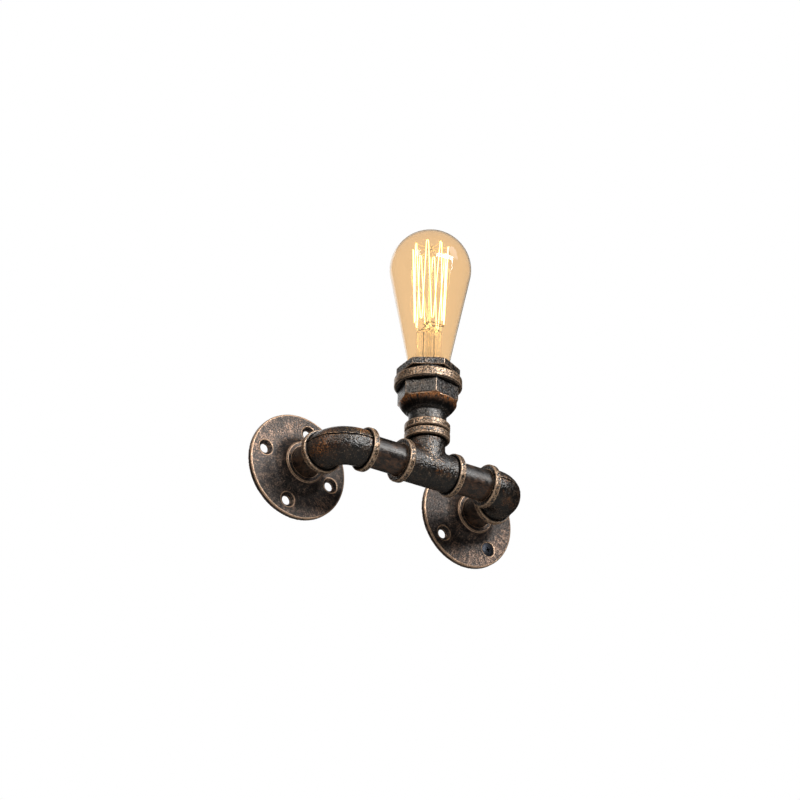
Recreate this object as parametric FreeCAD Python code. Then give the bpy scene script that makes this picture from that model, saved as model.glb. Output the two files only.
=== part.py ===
import FreeCAD, Part
import math
import os

# Pipe wall light: two wall flanges, a bent run of pipe with a tee, and a screw-in bulb standing on it.
# Millimetres. X runs along the wall, +Y points into the wall and +Z up.
# The origin is the middle of the left flange's back face, which lies on the wall.

# Layout
flange_spacing = 158.0  # between the middles of the two flanges
pipe_standoff = 60.0  # from the wall to the axis of the pipe run

# Pipe
pipe_od = 24.5
pipe_wall = 2.5
thread_clearance = 0.15  # round a nipple in its socket
thread_depth = 9.5  # of each socket in the fittings

# Wall flanges
flange_od = 84.0
flange_thickness = 4.3
flange_edge = 0.7  # chamfer on the outer edge
flare_radius = 8.0  # between the plate and the hub
hub_wall = 4.4  # round the socket
hub_height = 15.0
hub_edge = 1.0
flange_seat = 3.0  # lip under the nipple's end
flange_bolt_circle = 60.4
flange_bolt_count = 4
bolt_hole = 7.0
bolt_sink = 12.0  # mouth of the 90 degree countersink
left_bolt_angle = -15.5  # from +X towards +Z
right_bolt_angle = 40.5

# Elbows and tee
fitting_wall = 2.1  # round the socket, as are the next two
branch_wall = 1.6
neck_wall = 2.2
bead_rise = 2.5  # above the fitting
bead_width = 5.0
bead_edge = 0.6
elbow_reach = 26.0  # from the corner to each end
elbow_throat = 2.5  # radius of the bend's inner side
tee_reach = 25.5
tee_branch_reach = 28.3
tee_crotch = 3.0  # fillet between the run and the branch
branch_bead_rise = 3.6
branch_bead_width = 6.5
branch_bead_edge = 0.9
branch_gap = 1.0  # bare riser between the tee and the reducer

# Bell reducer
neck_length = 15.0  # from the lower end to the foot of the bowl
bowl_swell = 0.5  # of the bowl's wall outside a straight cone
bowl_height = 8.7
bowl_band = 0.6
bowl_setback = 1.8  # from the hexagon's corners
bell_wall = 5.9  # from the chamber to the corners
bell_hex_height = 12.5
bell_hex_foot = 1.2  # height of the slope under the corners
bell_hex_turn = 10.7
mouth_wall = 4.3  # from the mouth's bore to the bead
mouth_bead_width = 8.2
mouth_bead_edge = 1.2
bell_floor = 3.7  # above the foot of the bowl
bell_ledge = 5.05  # least width of the floor round the bore
chamber_clearance = 0.8  # round the lampholder
chamber_slope = 5.5  # height of the cone from the floor to the bore
chamber_taper = 3.5  # of the cone's foot inside the bore
mouth_clearance = 0.5  # round the lampholder's rim
mouth_depth = 7.8

# Hex bushing that clamps the lampholder
bushing_wall = 7.2  # from the bore to the corners
bushing_head = 5.8
bushing_collar = 3.5  # height between the bell's mouth and the head
bushing_collar_wall = 2.9
bushing_turn = 25.6
bushing_edge = 0.5  # height of the chamfer at the corners
bushing_edge_width = 1.7
bushing_clearance = 0.6  # round the lampholder's collar
bushing_wall_clearance = 0.15
clamp_gap = 0.2  # above the lampholder's rim

# Lampholder
holder_wall = 3.0  # round the screw shell's well
holder_ledge = 4.0  # of the rim beyond the body
holder_rim = 3.0
collar_wall = 2.3
holder_collar = 8.5  # above the rim
holder_floor = 6.7
holder_drop = 16.0  # from the seat down to the underside
holder_edge = 2.5
cap_clearance = 0.5  # round the bulb's cap
shell_wall = 0.5
shell_clearance = 0.4
shell_margin = 0.6  # below the collar's top
strip_width = 6.0
strip_thickness = 0.5
terminal_offset = 7.0  # from the axis
terminal_size = (6.4, 7.4, 4.2)
terminal_clearance = 0.3
wire_hole = 2.8
wire_hole_offset = 5.6
wire_hole_depth = 3.4
rivet_od = 2.4
rivet_head_od = 4.2
rivet_head = 0.8
rivet_clearance = 0.1
rivet_grip = 0.7  # into the terminal
terminal_screw_od = 2.5
terminal_screw_head_od = 4.2
terminal_screw_head = 1.8
terminal_screw_length = 3.2
screw_clearance = 0.05

# Sprung centre contact
contact_gap = 0.5  # over the floor and under the rivet's head
contact_root = 9.2  # of its pivot line from the axis
contact_tip = 3.6  # of its free end past the axis
contact_width = 5.0
contact_rise = 1.4
contact_bend = 4.2  # where it leaves the floor, from the axis
contact_flat = 2.6  # half length of the raised pad
bulb_gap = 0.3  # under the bulb's tip

# Earth point in the bell
earth_inset = 2.45  # from the bore's edge
earth_angle = 250.0
earth_tag_od = 5.0
earth_tag_thickness = 0.6
earth_screw_od = 2.9
earth_screw_head_od = 4.4
earth_screw_head = 1.6
earth_screw_length = 4.0
earth_strip_width = 3.0
earth_lead_inset = 2.85  # from the bore's edge, inwards
earth_barrel_drop = 0.5
earth_barrel = 3.0

# Leads
lead_od = 2.2
lead_spread = 2.0  # of the live lead from the pipe's axis
lead_rise = 1.0  # of the other two above it
lead_side = 1.9  # of the other two to each side
tee_turn = 18.0  # of a lead on the pipe's axis
elbow_turn = 20.0
gather_height = 34.0  # where the leads come together, above the run
gather_turn = 14.0
lead_drop = 3.5  # of straight lead under its terminal
earth_turn = 11.0
lead_bore = 0.15  # round a lead in its sleeve
ferrule_collar_od = 3.4
ferrule_collar = 3.0
ferrule_grip = 2.0
ferrule_od = 1.7
ferrule_length = 9.0
ferrule_inset = 1.0  # from the wall

# Bulb
bulb_length = 142.0
bulb_od = 64.0
bulb_flank = 11.4  # degrees off the axis
glass_wall = 0.9
shoulder_width = 3.8  # from the neck to the foot of the flank
cement_gap = 0.3  # between the neck and the cap
glass_in_cap = 3.5
shoulder_height = 1.9
neck_rise = 0.4  # of the straight neck above the cap
cap_length = 27.0
cap_od = 26.2
cap_wall = 0.4
cap_lip_spread = 0.6
cap_lip = 1.0
cap_shoulder = 5.5  # from the tip to the foot of the cap's straight wall
cap_foot_od = 20.0
insulator_foot_od = 12.0
insulator_foot = 1.9  # above the tip
insulator_height = 2.0
insulator_in_cap = 2.0
insulator_clearance = 0.3
tip_od = 9.4
tip_crown = 0.9
tip_bend = (0.6, 0.3)  # shares of the tip's radius and crown on its curve

# Mount inside the bulb
stem_od = 20.0
stem_wall = 1.2
stem_flare_slope = 2.0  # height of the flare for its width
stem_shoulder = 114.0  # heights above the run's axis
stem_top = 121.5
stem_pinch = 9.0
stem_pinch_thickness = 4.0
stem_pinch_height = 4.0
stem_clearance = 0.1
arbor_od = 2.6
arbor_top = 187.5
arbor_button_od = 5.0
arbor_button = 3.0
exhaust_od = 5.0
exhaust_length = 34.0
hook_wire = 0.5
hook_count = 8
upper_hook_radius = 14.0
lower_hook_radius = 11.6
filament_wire = 0.4
filament_loop = 0.7  # half width of its turn over a hook
lead_in_wire = 0.6
lead_in_spread = 3.6
lead_in_angle = 5.0  # between its end and the gap in the lower hooks
lead_in_rise = 0.6
lead_in_round = 5.0  # how far it keeps from the axis on its way
lead_in_ways = (-20.0, -100.0)
lead_in_below = 5.0  # from the axis, inside the stem
lead_in_fork = 80.0
lead_in_join = 72.0
wire_sides = 6
hook_tip = 1.2
filament_clearance = 0.05

# Derived places
X = FreeCAD.Vector(1, 0, 0)
Y = FreeCAD.Vector(0, 1, 0)
Z = FreeCAD.Vector(0, 0, 1)
left_corner = FreeCAD.Vector(0, -pipe_standoff, 0)
right_corner = FreeCAD.Vector(flange_spacing, -pipe_standoff, 0)
middle = (left_corner + right_corner) * 0.5
pipe_radius = pipe_od / 2
bore_radius = pipe_radius - pipe_wall
socket_radius = pipe_radius + thread_clearance
hub_od = 2 * (socket_radius + hub_wall)
fitting_od = 2 * (socket_radius + fitting_wall)
branch_od = 2 * (socket_radius + branch_wall)
neck_od = 2 * (socket_radius + neck_wall)
bead_od = fitting_od + 2 * bead_rise
branch_bead_od = branch_od + 2 * branch_bead_rise
elbow_bend = fitting_od / 2 + elbow_throat
shell_bore = cap_od + 2 * cap_clearance
shell_radius = shell_bore / 2 + shell_wall
well_radius = shell_radius + shell_clearance
holder_od = 2 * (well_radius + holder_wall)
holder_collar_od = 2 * (well_radius + collar_wall)
holder_rim_od = holder_od + 2 * holder_ledge
chamber_bore = holder_od + 2 * chamber_clearance
mouth_bore = holder_rim_od + 2 * mouth_clearance
bell_floor_od = max(2 * (bore_radius + bell_ledge), chamber_bore - 2 * chamber_taper)
bell_od = chamber_bore + 2 * bell_wall
mouth_bead_od = mouth_bore + 2 * mouth_wall
bushing_bore = holder_collar_od + 2 * bushing_clearance
bushing_across_corners = bushing_bore + 2 * bushing_wall
earth_offset = bore_radius + earth_inset
earth_lead_offset = bore_radius - earth_lead_inset
glass_neck_od = cap_od - 2 * (cap_wall + cement_gap)
glass_shoulder = glass_neck_od / 2 + shoulder_width
cap_lip_od = cap_od + 2 * cap_lip_spread
bell_base = tee_branch_reach + branch_gap
bowl_foot = bell_base + neck_length
hex_base = bowl_foot + bowl_height + bowl_band
mouth_base = hex_base + bell_hex_height
bell_top = mouth_base + mouth_bead_width
floor_height = bowl_foot + bell_floor
seat_height = bell_top - mouth_depth
holder_base = seat_height - holder_drop
well_height = holder_base + holder_floor
holder_top = seat_height + holder_rim + holder_collar
contact_top = well_height + contact_gap + contact_rise + strip_thickness
tip_height = contact_top + bulb_gap
cap_top = tip_height + cap_length
bulb_top = tip_height + bulb_length
terminal_roof = holder_base + terminal_size[2] + terminal_clearance
upper_hook_height = arbor_top + arbor_button / 2
lower_hook_height = stem_top + arbor_button / 2


def outline_face(outline, place):
    # Points are joined by straight edges; a pair of points is an arc through the first to the second.
    edges = []
    here = outline[0]
    for step in outline[1:] + outline[:1]:
        if isinstance(step[0], tuple):
            through, there = step
            edges.append(Part.Arc(place(*here), place(*through), place(*there)).toShape())
        else:
            there = step
            edges.append(Part.LineSegment(place(*here), place(*there)).toShape())
        here = there
    return Part.Face(Part.Wire(edges))


def turned(outline, base, along, across=X):
    # The outline's points are (radius, height along the axis).
    face = outline_face(outline, lambda radius, height: base + across * radius + along * height)
    solid = face.revolve(base, along, 360)
    if solid.Volume < 0:
        solid.reverse()
    return solid


def rod(radius, start, along, length):
    return Part.makeCylinder(radius, length, start, along)


def joined(solids):
    return solids[0].fuse(solids[1:]).removeSplitter()


def bead(start, along, diameter, width, edge):
    radius = diameter / 2
    outline = [
        (0, 0),
        (radius - edge, 0),
        (radius, edge),
        (radius, width - edge),
        (radius - edge, width),
        (0, width),
    ]
    across = Z if abs(along.z) < 0.5 else X
    return turned(outline, start, along, across)


def hexagon(across_corners, height, start, turn):
    corners = []
    for k in range(7):
        angle = math.radians(turn + 60 * k)
        corners.append(start + FreeCAD.Vector(math.cos(angle), math.sin(angle), 0) * (across_corners / 2))
    return Part.Face(Part.makePolygon(corners)).extrude(Z * height)


def on_axis(height):
    return FreeCAD.Vector(middle.x, middle.y, height)


def around_axis(radius, angle, height):
    turn = math.radians(angle)
    return on_axis(height) + FreeCAD.Vector(math.cos(turn), math.sin(turn), 0) * radius


def block(size, centre, base):
    corner = FreeCAD.Vector(centre.x - size[0] / 2, centre.y - size[1] / 2, base)
    return Part.makeBox(size[0], size[1], size[2], corner)


def flange(centre_x, bolt_angle):
    centre = FreeCAD.Vector(centre_x, 0, 0)
    rim, hub = flange_od / 2, hub_od / 2
    bend = flare_radius * (1 - math.sqrt(0.5))
    plate = [
        (bore_radius, 0),
        (rim, 0),
        (rim, flange_thickness - flange_edge),
        (rim - flange_edge, flange_thickness),
        (hub + flare_radius, flange_thickness),
        ((hub + bend, flange_thickness + bend), (hub, flange_thickness + flare_radius)),
        (hub, hub_height - hub_edge),
        (hub - hub_edge, hub_height),
        (socket_radius, hub_height),
        (socket_radius, flange_seat),
        (bore_radius, flange_seat),
    ]
    solid = turned(plate, centre, -Y)
    sink_depth = (bolt_sink - bolt_hole) / 2
    for k in range(flange_bolt_count):
        angle = math.radians(bolt_angle + 360 * k / flange_bolt_count)
        hole = centre + FreeCAD.Vector(math.cos(angle), 0, math.sin(angle)) * (flange_bolt_circle / 2)
        drill = [
            (0, 0),
            (bolt_hole / 2, 0),
            (bolt_hole / 2, flange_thickness - sink_depth),
            (bolt_sink / 2, flange_thickness),
            (bolt_sink / 2, hub_height),
            (0, hub_height),
        ]
        solid = solid.cut(turned(drill, hole, -Y))
    return solid


def nipple(start, along, length):
    return rod(pipe_radius, start, along, length).cut(rod(bore_radius, start, along, length))


def quarter_bend(radius, corner, inward):
    start = corner + Y * elbow_bend
    section = Part.Face(Part.Wire(Part.Circle(start, Y, radius).toShape()))
    solid = section.revolve(start + X * (inward * elbow_bend), Z * inward, 90)
    if solid.Volume < 0:
        solid.reverse()
    return solid


def elbow(corner, inward):
    # The inward side, +1 or -1 along X, faces the tee; the other end faces the wall.
    outside = [quarter_bend(fitting_od / 2, corner, inward)]
    inside = [quarter_bend(bore_radius, corner, inward)]
    for along in (Y, X * inward):
        bend_end = corner + along * elbow_bend
        end = corner + along * elbow_reach
        stub = elbow_reach - elbow_bend
        outside.append(rod(fitting_od / 2, bend_end, along, stub))
        outside.append(bead(end - along * bead_width, along, bead_od, bead_width, bead_edge))
        inside.append(rod(bore_radius, bend_end, along, stub))
        inside.append(rod(socket_radius, end - along * thread_depth, along, thread_depth))
    solid = joined(outside)
    for hollow in inside:
        solid = solid.cut(hollow)
    return solid


def tee():
    run = rod(fitting_od / 2, middle - X * tee_reach, X, 2 * tee_reach)
    branch = rod(branch_od / 2, middle, Z, tee_branch_reach)
    body = run.fuse(branch)
    crotch = []
    for edge in body.Edges:
        box = edge.BoundBox
        if box.ZMin > 0 and box.ZMax < fitting_od / 2 + tee_crotch and box.XLength > branch_od / 4:
            crotch.append(edge)
    outside = [body.makeFillet(tee_crotch, crotch)]
    inside = [rod(bore_radius, middle - X * tee_reach, X, 2 * tee_reach)]
    inside.append(rod(bore_radius, middle, Z, tee_branch_reach))
    for along, reach, diameter, width, edge in (
        (-X, tee_reach, bead_od, bead_width, bead_edge),
        (X, tee_reach, bead_od, bead_width, bead_edge),
        (Z, tee_branch_reach, branch_bead_od, branch_bead_width, branch_bead_edge),
    ):
        end = middle + along * reach
        outside.append(bead(end - along * width, along, diameter, width, edge))
        inside.append(rod(socket_radius, end - along * thread_depth, along, thread_depth))
    solid = joined(outside)
    for hollow in inside:
        solid = solid.cut(hollow)
    return solid


def bell_reducer():
    neck, bowl, lower = neck_od / 2, bell_od / 2 - bowl_setback, branch_bead_od / 2
    bowl_top = neck_length + bowl_height
    half_way = ((neck + bowl) / 2 + bowl_swell, neck_length + bowl_height / 2 - bowl_swell)
    body = [
        (0, 0),
        (lower - branch_bead_edge, 0),
        (lower, branch_bead_edge),
        (lower, branch_bead_width - branch_bead_edge),
        (lower - branch_bead_edge, branch_bead_width),
        (neck, branch_bead_width),
        (neck, neck_length),
        (half_way, (bowl, bowl_top)),
        (bowl, bowl_top + bowl_band),
        (0, bowl_top + bowl_band),
    ]
    outside = [turned(body, on_axis(bell_base), Z)]
    sloped_foot = [
        (0, 0),
        (bowl, 0),
        (bowl + bowl_setback, bell_hex_foot),
        (bowl + bowl_setback, bell_hex_height),
        (0, bell_hex_height),
    ]
    prism = hexagon(bell_od, bell_hex_height, on_axis(hex_base), bell_hex_turn)
    outside.append(prism.common(turned(sloped_foot, on_axis(hex_base), Z)))
    outside.append(bead(on_axis(mouth_base), Z, mouth_bead_od, mouth_bead_width, mouth_bead_edge))
    hollow = [
        (0, bell_base),
        (socket_radius, bell_base),
        (socket_radius, bell_base + thread_depth),
        (bore_radius, bell_base + thread_depth),
        (bore_radius, floor_height),
        (bell_floor_od / 2, floor_height),
        (chamber_bore / 2, floor_height + chamber_slope),
        (chamber_bore / 2, seat_height),
        (mouth_bore / 2, seat_height),
        (mouth_bore / 2, bell_top),
        (0, bell_top),
    ]
    solid = joined(outside).cut(turned(hollow, on_axis(0), Z))
    earth_point = around_axis(earth_offset, earth_angle, floor_height)
    tapped_radius = earth_screw_od / 2 + screw_clearance
    return solid.cut(rod(tapped_radius, earth_point, -Z, earth_screw_length + screw_clearance))


def hex_bushing():
    male_radius = mouth_bore / 2 - bushing_wall_clearance
    male_base = seat_height + holder_rim + clamp_gap
    corner = bushing_across_corners / 2
    head_base = bell_top + bushing_collar
    head = hexagon(bushing_across_corners, bushing_head, on_axis(head_base), bushing_turn)
    envelope = [
        (0, 0),
        (corner, 0),
        (corner, bushing_head - bushing_edge),
        (corner - bushing_edge_width, bushing_head),
        (0, bushing_head),
    ]
    head = head.common(turned(envelope, on_axis(head_base), Z))
    male = rod(male_radius, on_axis(male_base), Z, bell_top - male_base)
    collar = rod(bushing_bore / 2 + bushing_collar_wall, on_axis(bell_top), Z, bushing_collar)
    bore = rod(bushing_bore / 2, on_axis(male_base), Z, head_base + bushing_head - male_base)
    return joined([head, collar, male]).cut(bore)


def terminal_sides():
    # The live terminal stands on the +X side of the lampholder, the neutral one on the -X side.
    return ((X, "live"), (-X, "neutral"))


def lampholder_body():
    outer, rim, collar = holder_od / 2, holder_rim_od / 2, holder_collar_od / 2
    profile = [
        (0, holder_base),
        (outer - holder_edge, holder_base),
        (outer, holder_base + holder_edge),
        (outer, seat_height),
        (rim, seat_height),
        (rim, seat_height + holder_rim),
        (collar, seat_height + holder_rim),
        (collar, holder_top),
        (well_radius, holder_top),
        (well_radius, well_height),
        (0, well_height),
    ]
    solid = turned(profile, on_axis(0), Z)
    length, width, height = terminal_size
    slot_inner = terminal_offset - length / 2 - terminal_clearance
    slot = (holder_od / 2 - slot_inner, width + 2 * terminal_clearance, terminal_roof - holder_base)
    for side, _ in terminal_sides():
        centre = middle + side * (slot_inner + slot[0] / 2)
        solid = solid.cut(block(slot, centre, holder_base))
        hole_start = on_axis(holder_base) + side * terminal_offset
        solid = solid.cut(rod(rivet_od / 2 + rivet_clearance, hole_start, Z, holder_floor))
    return solid


def screw_shell():
    height = holder_top - shell_margin - well_height
    base = on_axis(well_height)
    tube = rod(shell_radius, base, Z, height).cut(rod(shell_bore / 2, base, Z, height))
    tab_inner = terminal_offset - strip_width / 2
    tab_length = shell_bore / 2 - tab_inner + shell_wall / 2
    tab_centre = middle - X * (tab_inner + tab_length / 2)
    tab = block((tab_length, strip_width, strip_thickness), tab_centre, well_height)
    hole = rod(rivet_od / 2 + rivet_clearance, base - X * terminal_offset, Z, strip_thickness)
    return joined([tube, tab]).cut(hole)


def terminal(side):
    centre = middle + side * terminal_offset
    base = terminal_roof - terminal_size[2]
    solid = block(terminal_size, centre, base)
    wire_start = on_axis(base) + side * wire_hole_offset
    solid = solid.cut(rod(wire_hole / 2, wire_start, Z, wire_hole_depth))
    screw_start = centre + side * (terminal_size[0] / 2) + Z * (base + terminal_size[2] / 2)
    reach = terminal_size[0] / 2 + terminal_offset - wire_hole_offset
    solid = solid.cut(rod(terminal_screw_od / 2 + screw_clearance, screw_start, -side, reach))
    rivet_top = on_axis(terminal_roof) + side * terminal_offset
    return solid.cut(rod(rivet_od / 2 + screw_clearance, rivet_top, -Z, rivet_grip))


def terminal_screws():
    screws = []
    height = terminal_roof - terminal_size[2] / 2
    for side, _ in terminal_sides():
        seat = on_axis(height) + side * (terminal_offset + terminal_size[0] / 2)
        head = rod(terminal_screw_head_od / 2, seat, side, terminal_screw_head)
        shank = rod(terminal_screw_od / 2, seat, -side, terminal_screw_length)
        screws.append(joined([head, shank]))
    return Part.makeCompound(screws)


def rivet(side, under_head):
    foot = terminal_roof - rivet_grip
    shank = rod(rivet_od / 2, on_axis(foot) + side * terminal_offset, Z, under_head - foot)
    head = rod(rivet_head_od / 2, on_axis(under_head) + side * terminal_offset, Z, rivet_head)
    return joined([shank, head])


def contact_rivets():
    live = rivet(X, well_height + 2 * contact_gap + strip_thickness)
    neutral = rivet(-X, well_height + strip_thickness)
    return Part.makeCompound([live, neutral])


def centre_contact():
    low = well_height + contact_gap
    high = low + contact_rise
    thick = strip_thickness
    side_view = [
        (contact_root, low),
        (contact_bend, low),
        (contact_flat, high),
        (-contact_flat, high),
        (-contact_tip, high - thick),
        (-contact_tip, high),
        (-contact_flat, high + thick),
        (contact_flat + thick / 2, high + thick),
        (contact_bend + thick / 2, low + thick),
        (contact_root, low + thick),
    ]
    start = middle - Y * (contact_width / 2)
    face = outline_face(side_view, lambda out, height: start + X * out + Z * height)
    strip = face.extrude(Y * contact_width)
    hole = rod(rivet_od / 2 + contact_gap, on_axis(low) + X * terminal_offset, Z, thick)
    return strip.cut(hole)


def earth_screw():
    under_head = around_axis(earth_offset, earth_angle, floor_height + earth_tag_thickness)
    head = rod(earth_screw_head_od / 2, under_head, Z, earth_screw_head)
    shank = rod(earth_screw_od / 2, under_head, -Z, earth_screw_length + earth_tag_thickness)
    return joined([head, shank])


def earth_tag():
    # A ring under the screw, and a strip over the floor's edge down to a barrel round the lead's end.
    centre = around_axis(earth_offset, earth_angle, floor_height)
    ring = rod(earth_tag_od / 2, centre, Z, earth_tag_thickness)
    leg = earth_lead_offset + lead_od / 2 + lead_bore
    drop = earth_barrel_drop + earth_barrel
    arm = Part.makeBox(earth_offset - leg, earth_strip_width, earth_tag_thickness)
    arm = arm.fuse(Part.makeBox(earth_tag_thickness, earth_strip_width, drop, FreeCAD.Vector(0, 0, -drop)))
    arm.translate(FreeCAD.Vector(leg, -earth_strip_width / 2, floor_height))
    arm.rotate(FreeCAD.Vector(), Z, earth_angle)
    arm.translate(middle)
    barrel_foot = around_axis(earth_lead_offset, earth_angle, floor_height - drop)
    barrel = rod(lead_od / 2 + lead_bore + earth_tag_thickness, barrel_foot, Z, earth_barrel)
    solid = joined([ring, arm, barrel])
    solid = solid.cut(rod(lead_od / 2 + lead_bore, barrel_foot, Z, earth_barrel))
    return solid.cut(rod(earth_screw_od / 2 + screw_clearance, centre, Z, earth_tag_thickness))


def rounded_path(points, radii):
    # Straight runs between the points, joined at each inner point by a tangent arc of its own radius.
    edges = []
    here = points[0]
    for k, radius in enumerate(radii, 1):
        corner = points[k]
        back = (points[k - 1] - corner).normalize()
        ahead = (points[k + 1] - corner).normalize()
        opening = back.getAngle(ahead)
        trim = radius / math.tan(opening / 2)
        start, end = corner + back * trim, corner + ahead * trim
        bisector = (back + ahead).normalize()
        through = corner + bisector * (radius / math.sin(opening / 2) - radius)
        edges.append(Part.LineSegment(here, start).toShape())
        edges.append(Part.Arc(start, through, end).toShape())
        here = end
    edges.append(Part.LineSegment(here, points[-1]).toShape())
    return Part.Wire(edges)


def tube_along(points, radii, diameter):
    path = rounded_path(points, radii)
    start = (points[1] - points[0]).normalize()
    section = Part.Wire(Part.Circle(points[0], start, diameter / 2).toShape())
    solid = path.makePipeShell([section], True, False)
    if solid.Volume < 0:
        solid.reverse()
    expected = math.pi * diameter**2 / 4 * path.Length
    print("lead volume", round(solid.Volume, 1), "of", round(expected, 1), "bends", radii)
    return solid


def lead(top_points, top_turn, outward, sideways):
    # outward: away from the inside of the turn in the tee; sideways: towards the wall.
    run_height = -outward
    riser = on_axis(0) + X * outward + Y * sideways
    corner_in_tee = riser + Z * run_height
    corner_in_elbow = left_corner + X * sideways + Y * sideways + Z * run_height
    end = FreeCAD.Vector(sideways, -(ferrule_inset + ferrule_length - ferrule_grip), run_height)
    points = top_points + [corner_in_tee, corner_in_elbow, end]
    radii = [top_turn] * (len(top_points) - 1) + [tee_turn + outward, elbow_turn - sideways]
    return tube_along(points, radii, lead_od)


def terminal_lead(side, outward, sideways):
    top = terminal_roof - terminal_size[2] + wire_hole_depth - lead_od / 2
    entry = on_axis(top) + side * wire_hole_offset
    below = on_axis(holder_base - lead_drop) + side * wire_hole_offset
    gathered = on_axis(gather_height) + X * outward + Y * sideways
    return lead([entry, below, gathered], gather_turn, outward, sideways)


def earth_lead():
    barrel_top = floor_height - earth_barrel_drop
    top = around_axis(earth_lead_offset, earth_angle, barrel_top)
    below = top - Z * (earth_barrel + lead_drop)
    gathered = on_axis(gather_height - lead_drop) - X * lead_rise - Y * lead_side
    return lead([top, below, gathered], earth_turn, -lead_rise, -lead_side)


def ferrules():
    # One on each lead's end at the wall, with the bare core's sleeve towards the wall.
    solids = []
    for outward, sideways in ((lead_spread, 0), (-lead_rise, lead_side), (-lead_rise, -lead_side)):
        back = FreeCAD.Vector(sideways, -ferrule_inset, -outward)
        collar = ferrule_length - ferrule_collar
        outline = [
            (0, 0),
            (ferrule_od / 2, 0),
            (ferrule_od / 2, collar),
            (ferrule_collar_od / 2, collar),
            (ferrule_collar_od / 2, ferrule_length),
            (lead_od / 2 + lead_bore, ferrule_length),
            (lead_od / 2 + lead_bore, ferrule_length - ferrule_grip),
            (0, ferrule_length - ferrule_grip),
        ]
        solids.append(turned(outline, back, -Y))
    return Part.makeCompound(solids)


def bulb_form(inset):
    # The envelope's outside, or with an inset its inside: a straight flank, a belly arc, a round crown.
    flank = math.radians(bulb_flank)
    slope = math.tan(flank)
    radius = bulb_od / 2 - inset
    belly_height = bulb_top - bulb_od / 2
    shoulder = glass_shoulder + slope * inset - inset / math.cos(flank)
    neck = glass_neck_od / 2 - inset
    foot_height = cap_top + shoulder_height + inset
    # The belly's arc is upright at the largest radius and follows the flank's slope at its lower end.
    short = shoulder + slope * (belly_height - foot_height) - radius
    belly = short / (slope * math.sin(flank) - 1 + math.cos(flank))
    belly_points = []
    for angle in (flank, flank / 2, 0):
        belly_points.append((radius - belly * (1 - math.cos(angle)), belly_height - belly * math.sin(angle)))
    crown = (radius * math.sqrt(0.5), belly_height + radius * math.sqrt(0.5))
    neck_top = cap_top + neck_rise + inset
    turn = math.sqrt(0.5)
    curl = (neck + (shoulder - neck) * turn, foot_height - (foot_height - neck_top) * turn)
    outline = [
        (0, cap_top - glass_in_cap),
        (neck, cap_top - glass_in_cap),
        (neck, neck_top),
        (curl, (shoulder, foot_height)),
        belly_points[0],
        (belly_points[1], belly_points[2]),
        (crown, (0, belly_height + radius)),
    ]
    return turned(outline, on_axis(0), Z)


def bulb_glass():
    return bulb_form(0).cut(bulb_form(glass_wall))


def bulb_screw_cap():
    wall, lip, foot = cap_od / 2, cap_lip_od / 2, cap_foot_od / 2
    foot_height = tip_height + insulator_foot + insulator_height
    wall_height = tip_height + cap_shoulder
    profile = [
        (foot - cap_wall, foot_height),
        (foot, foot_height),
        (wall, wall_height),
        (wall, cap_top - 2 * cap_lip),
        (lip, cap_top - cap_lip),
        (lip, cap_top),
        (lip - cap_wall, cap_top),
        (lip - cap_wall, cap_top - cap_lip),
        (wall - cap_wall, cap_top - 2 * cap_lip),
        (wall - cap_wall, wall_height),
    ]
    return turned(profile, on_axis(0), Z)


def bulb_insulator():
    foot = tip_height + insulator_foot
    shoulder = foot + insulator_height - insulator_clearance
    inside = cap_foot_od / 2 - cap_wall - insulator_clearance
    profile = [
        (0, foot),
        (insulator_foot_od / 2, foot),
        (cap_foot_od / 2, shoulder),
        (inside, shoulder),
        (inside, shoulder + insulator_in_cap),
        (0, shoulder + insulator_in_cap),
    ]
    return turned(profile, on_axis(0), Z)


def bulb_tip():
    radius, foot = tip_od / 2, tip_height + insulator_foot
    on_curve = (radius * tip_bend[0], tip_height + tip_crown * tip_bend[1])
    profile = [
        (0, tip_height),
        (on_curve, (radius, tip_height + tip_crown)),
        (radius, foot),
        (0, foot),
    ]
    return turned(profile, on_axis(0), Z)


def bulb_stem():
    # A hollow flare in the neck, pinched flat at its top, with the solid arbor and the exhaust tube.
    flare = glass_neck_od / 2 - glass_wall - stem_clearance
    tube = stem_od / 2
    foot = cap_top - glass_in_cap
    flare_top = foot + stem_flare_slope * (flare - tube)
    profile = [
        (flare, foot),
        (flare, foot + stem_wall),
        (tube, flare_top + stem_wall),
        (tube, stem_shoulder),
        (arbor_od, stem_top - stem_pinch_height),
        (0, stem_top - stem_pinch_height),
        (0, stem_top - stem_pinch_height - stem_wall),
        (arbor_od - stem_wall / 2, stem_top - stem_pinch_height - stem_wall),
        (tube - stem_wall, stem_shoulder - stem_wall / 2),
        (tube - stem_wall, flare_top + stem_wall / 2),
        (flare - stem_wall, foot),
    ]
    shell = turned(profile, on_axis(0), Z)
    pinch_height = stem_pinch_height + stem_wall
    pinch = block((stem_pinch, stem_pinch_thickness, pinch_height), middle, stem_top - pinch_height)
    arbor = rod(arbor_od / 2, on_axis(stem_top - stem_wall), Z, arbor_top - stem_top + stem_wall)
    button = rod(arbor_button_od / 2, on_axis(arbor_top), Z, arbor_button)
    lower_button = rod(arbor_button_od / 2, on_axis(stem_top), Z, arbor_button)
    ceiling = stem_top - stem_pinch_height - stem_wall / 2
    exhaust = rod(exhaust_od / 2, on_axis(ceiling - exhaust_length), Z, exhaust_length)
    bore = rod(exhaust_od / 2 - stem_wall, on_axis(ceiling - exhaust_length), Z, exhaust_length - stem_wall)
    return joined([shell, pinch, arbor, button, lower_button, exhaust]).cut(bore)


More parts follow.
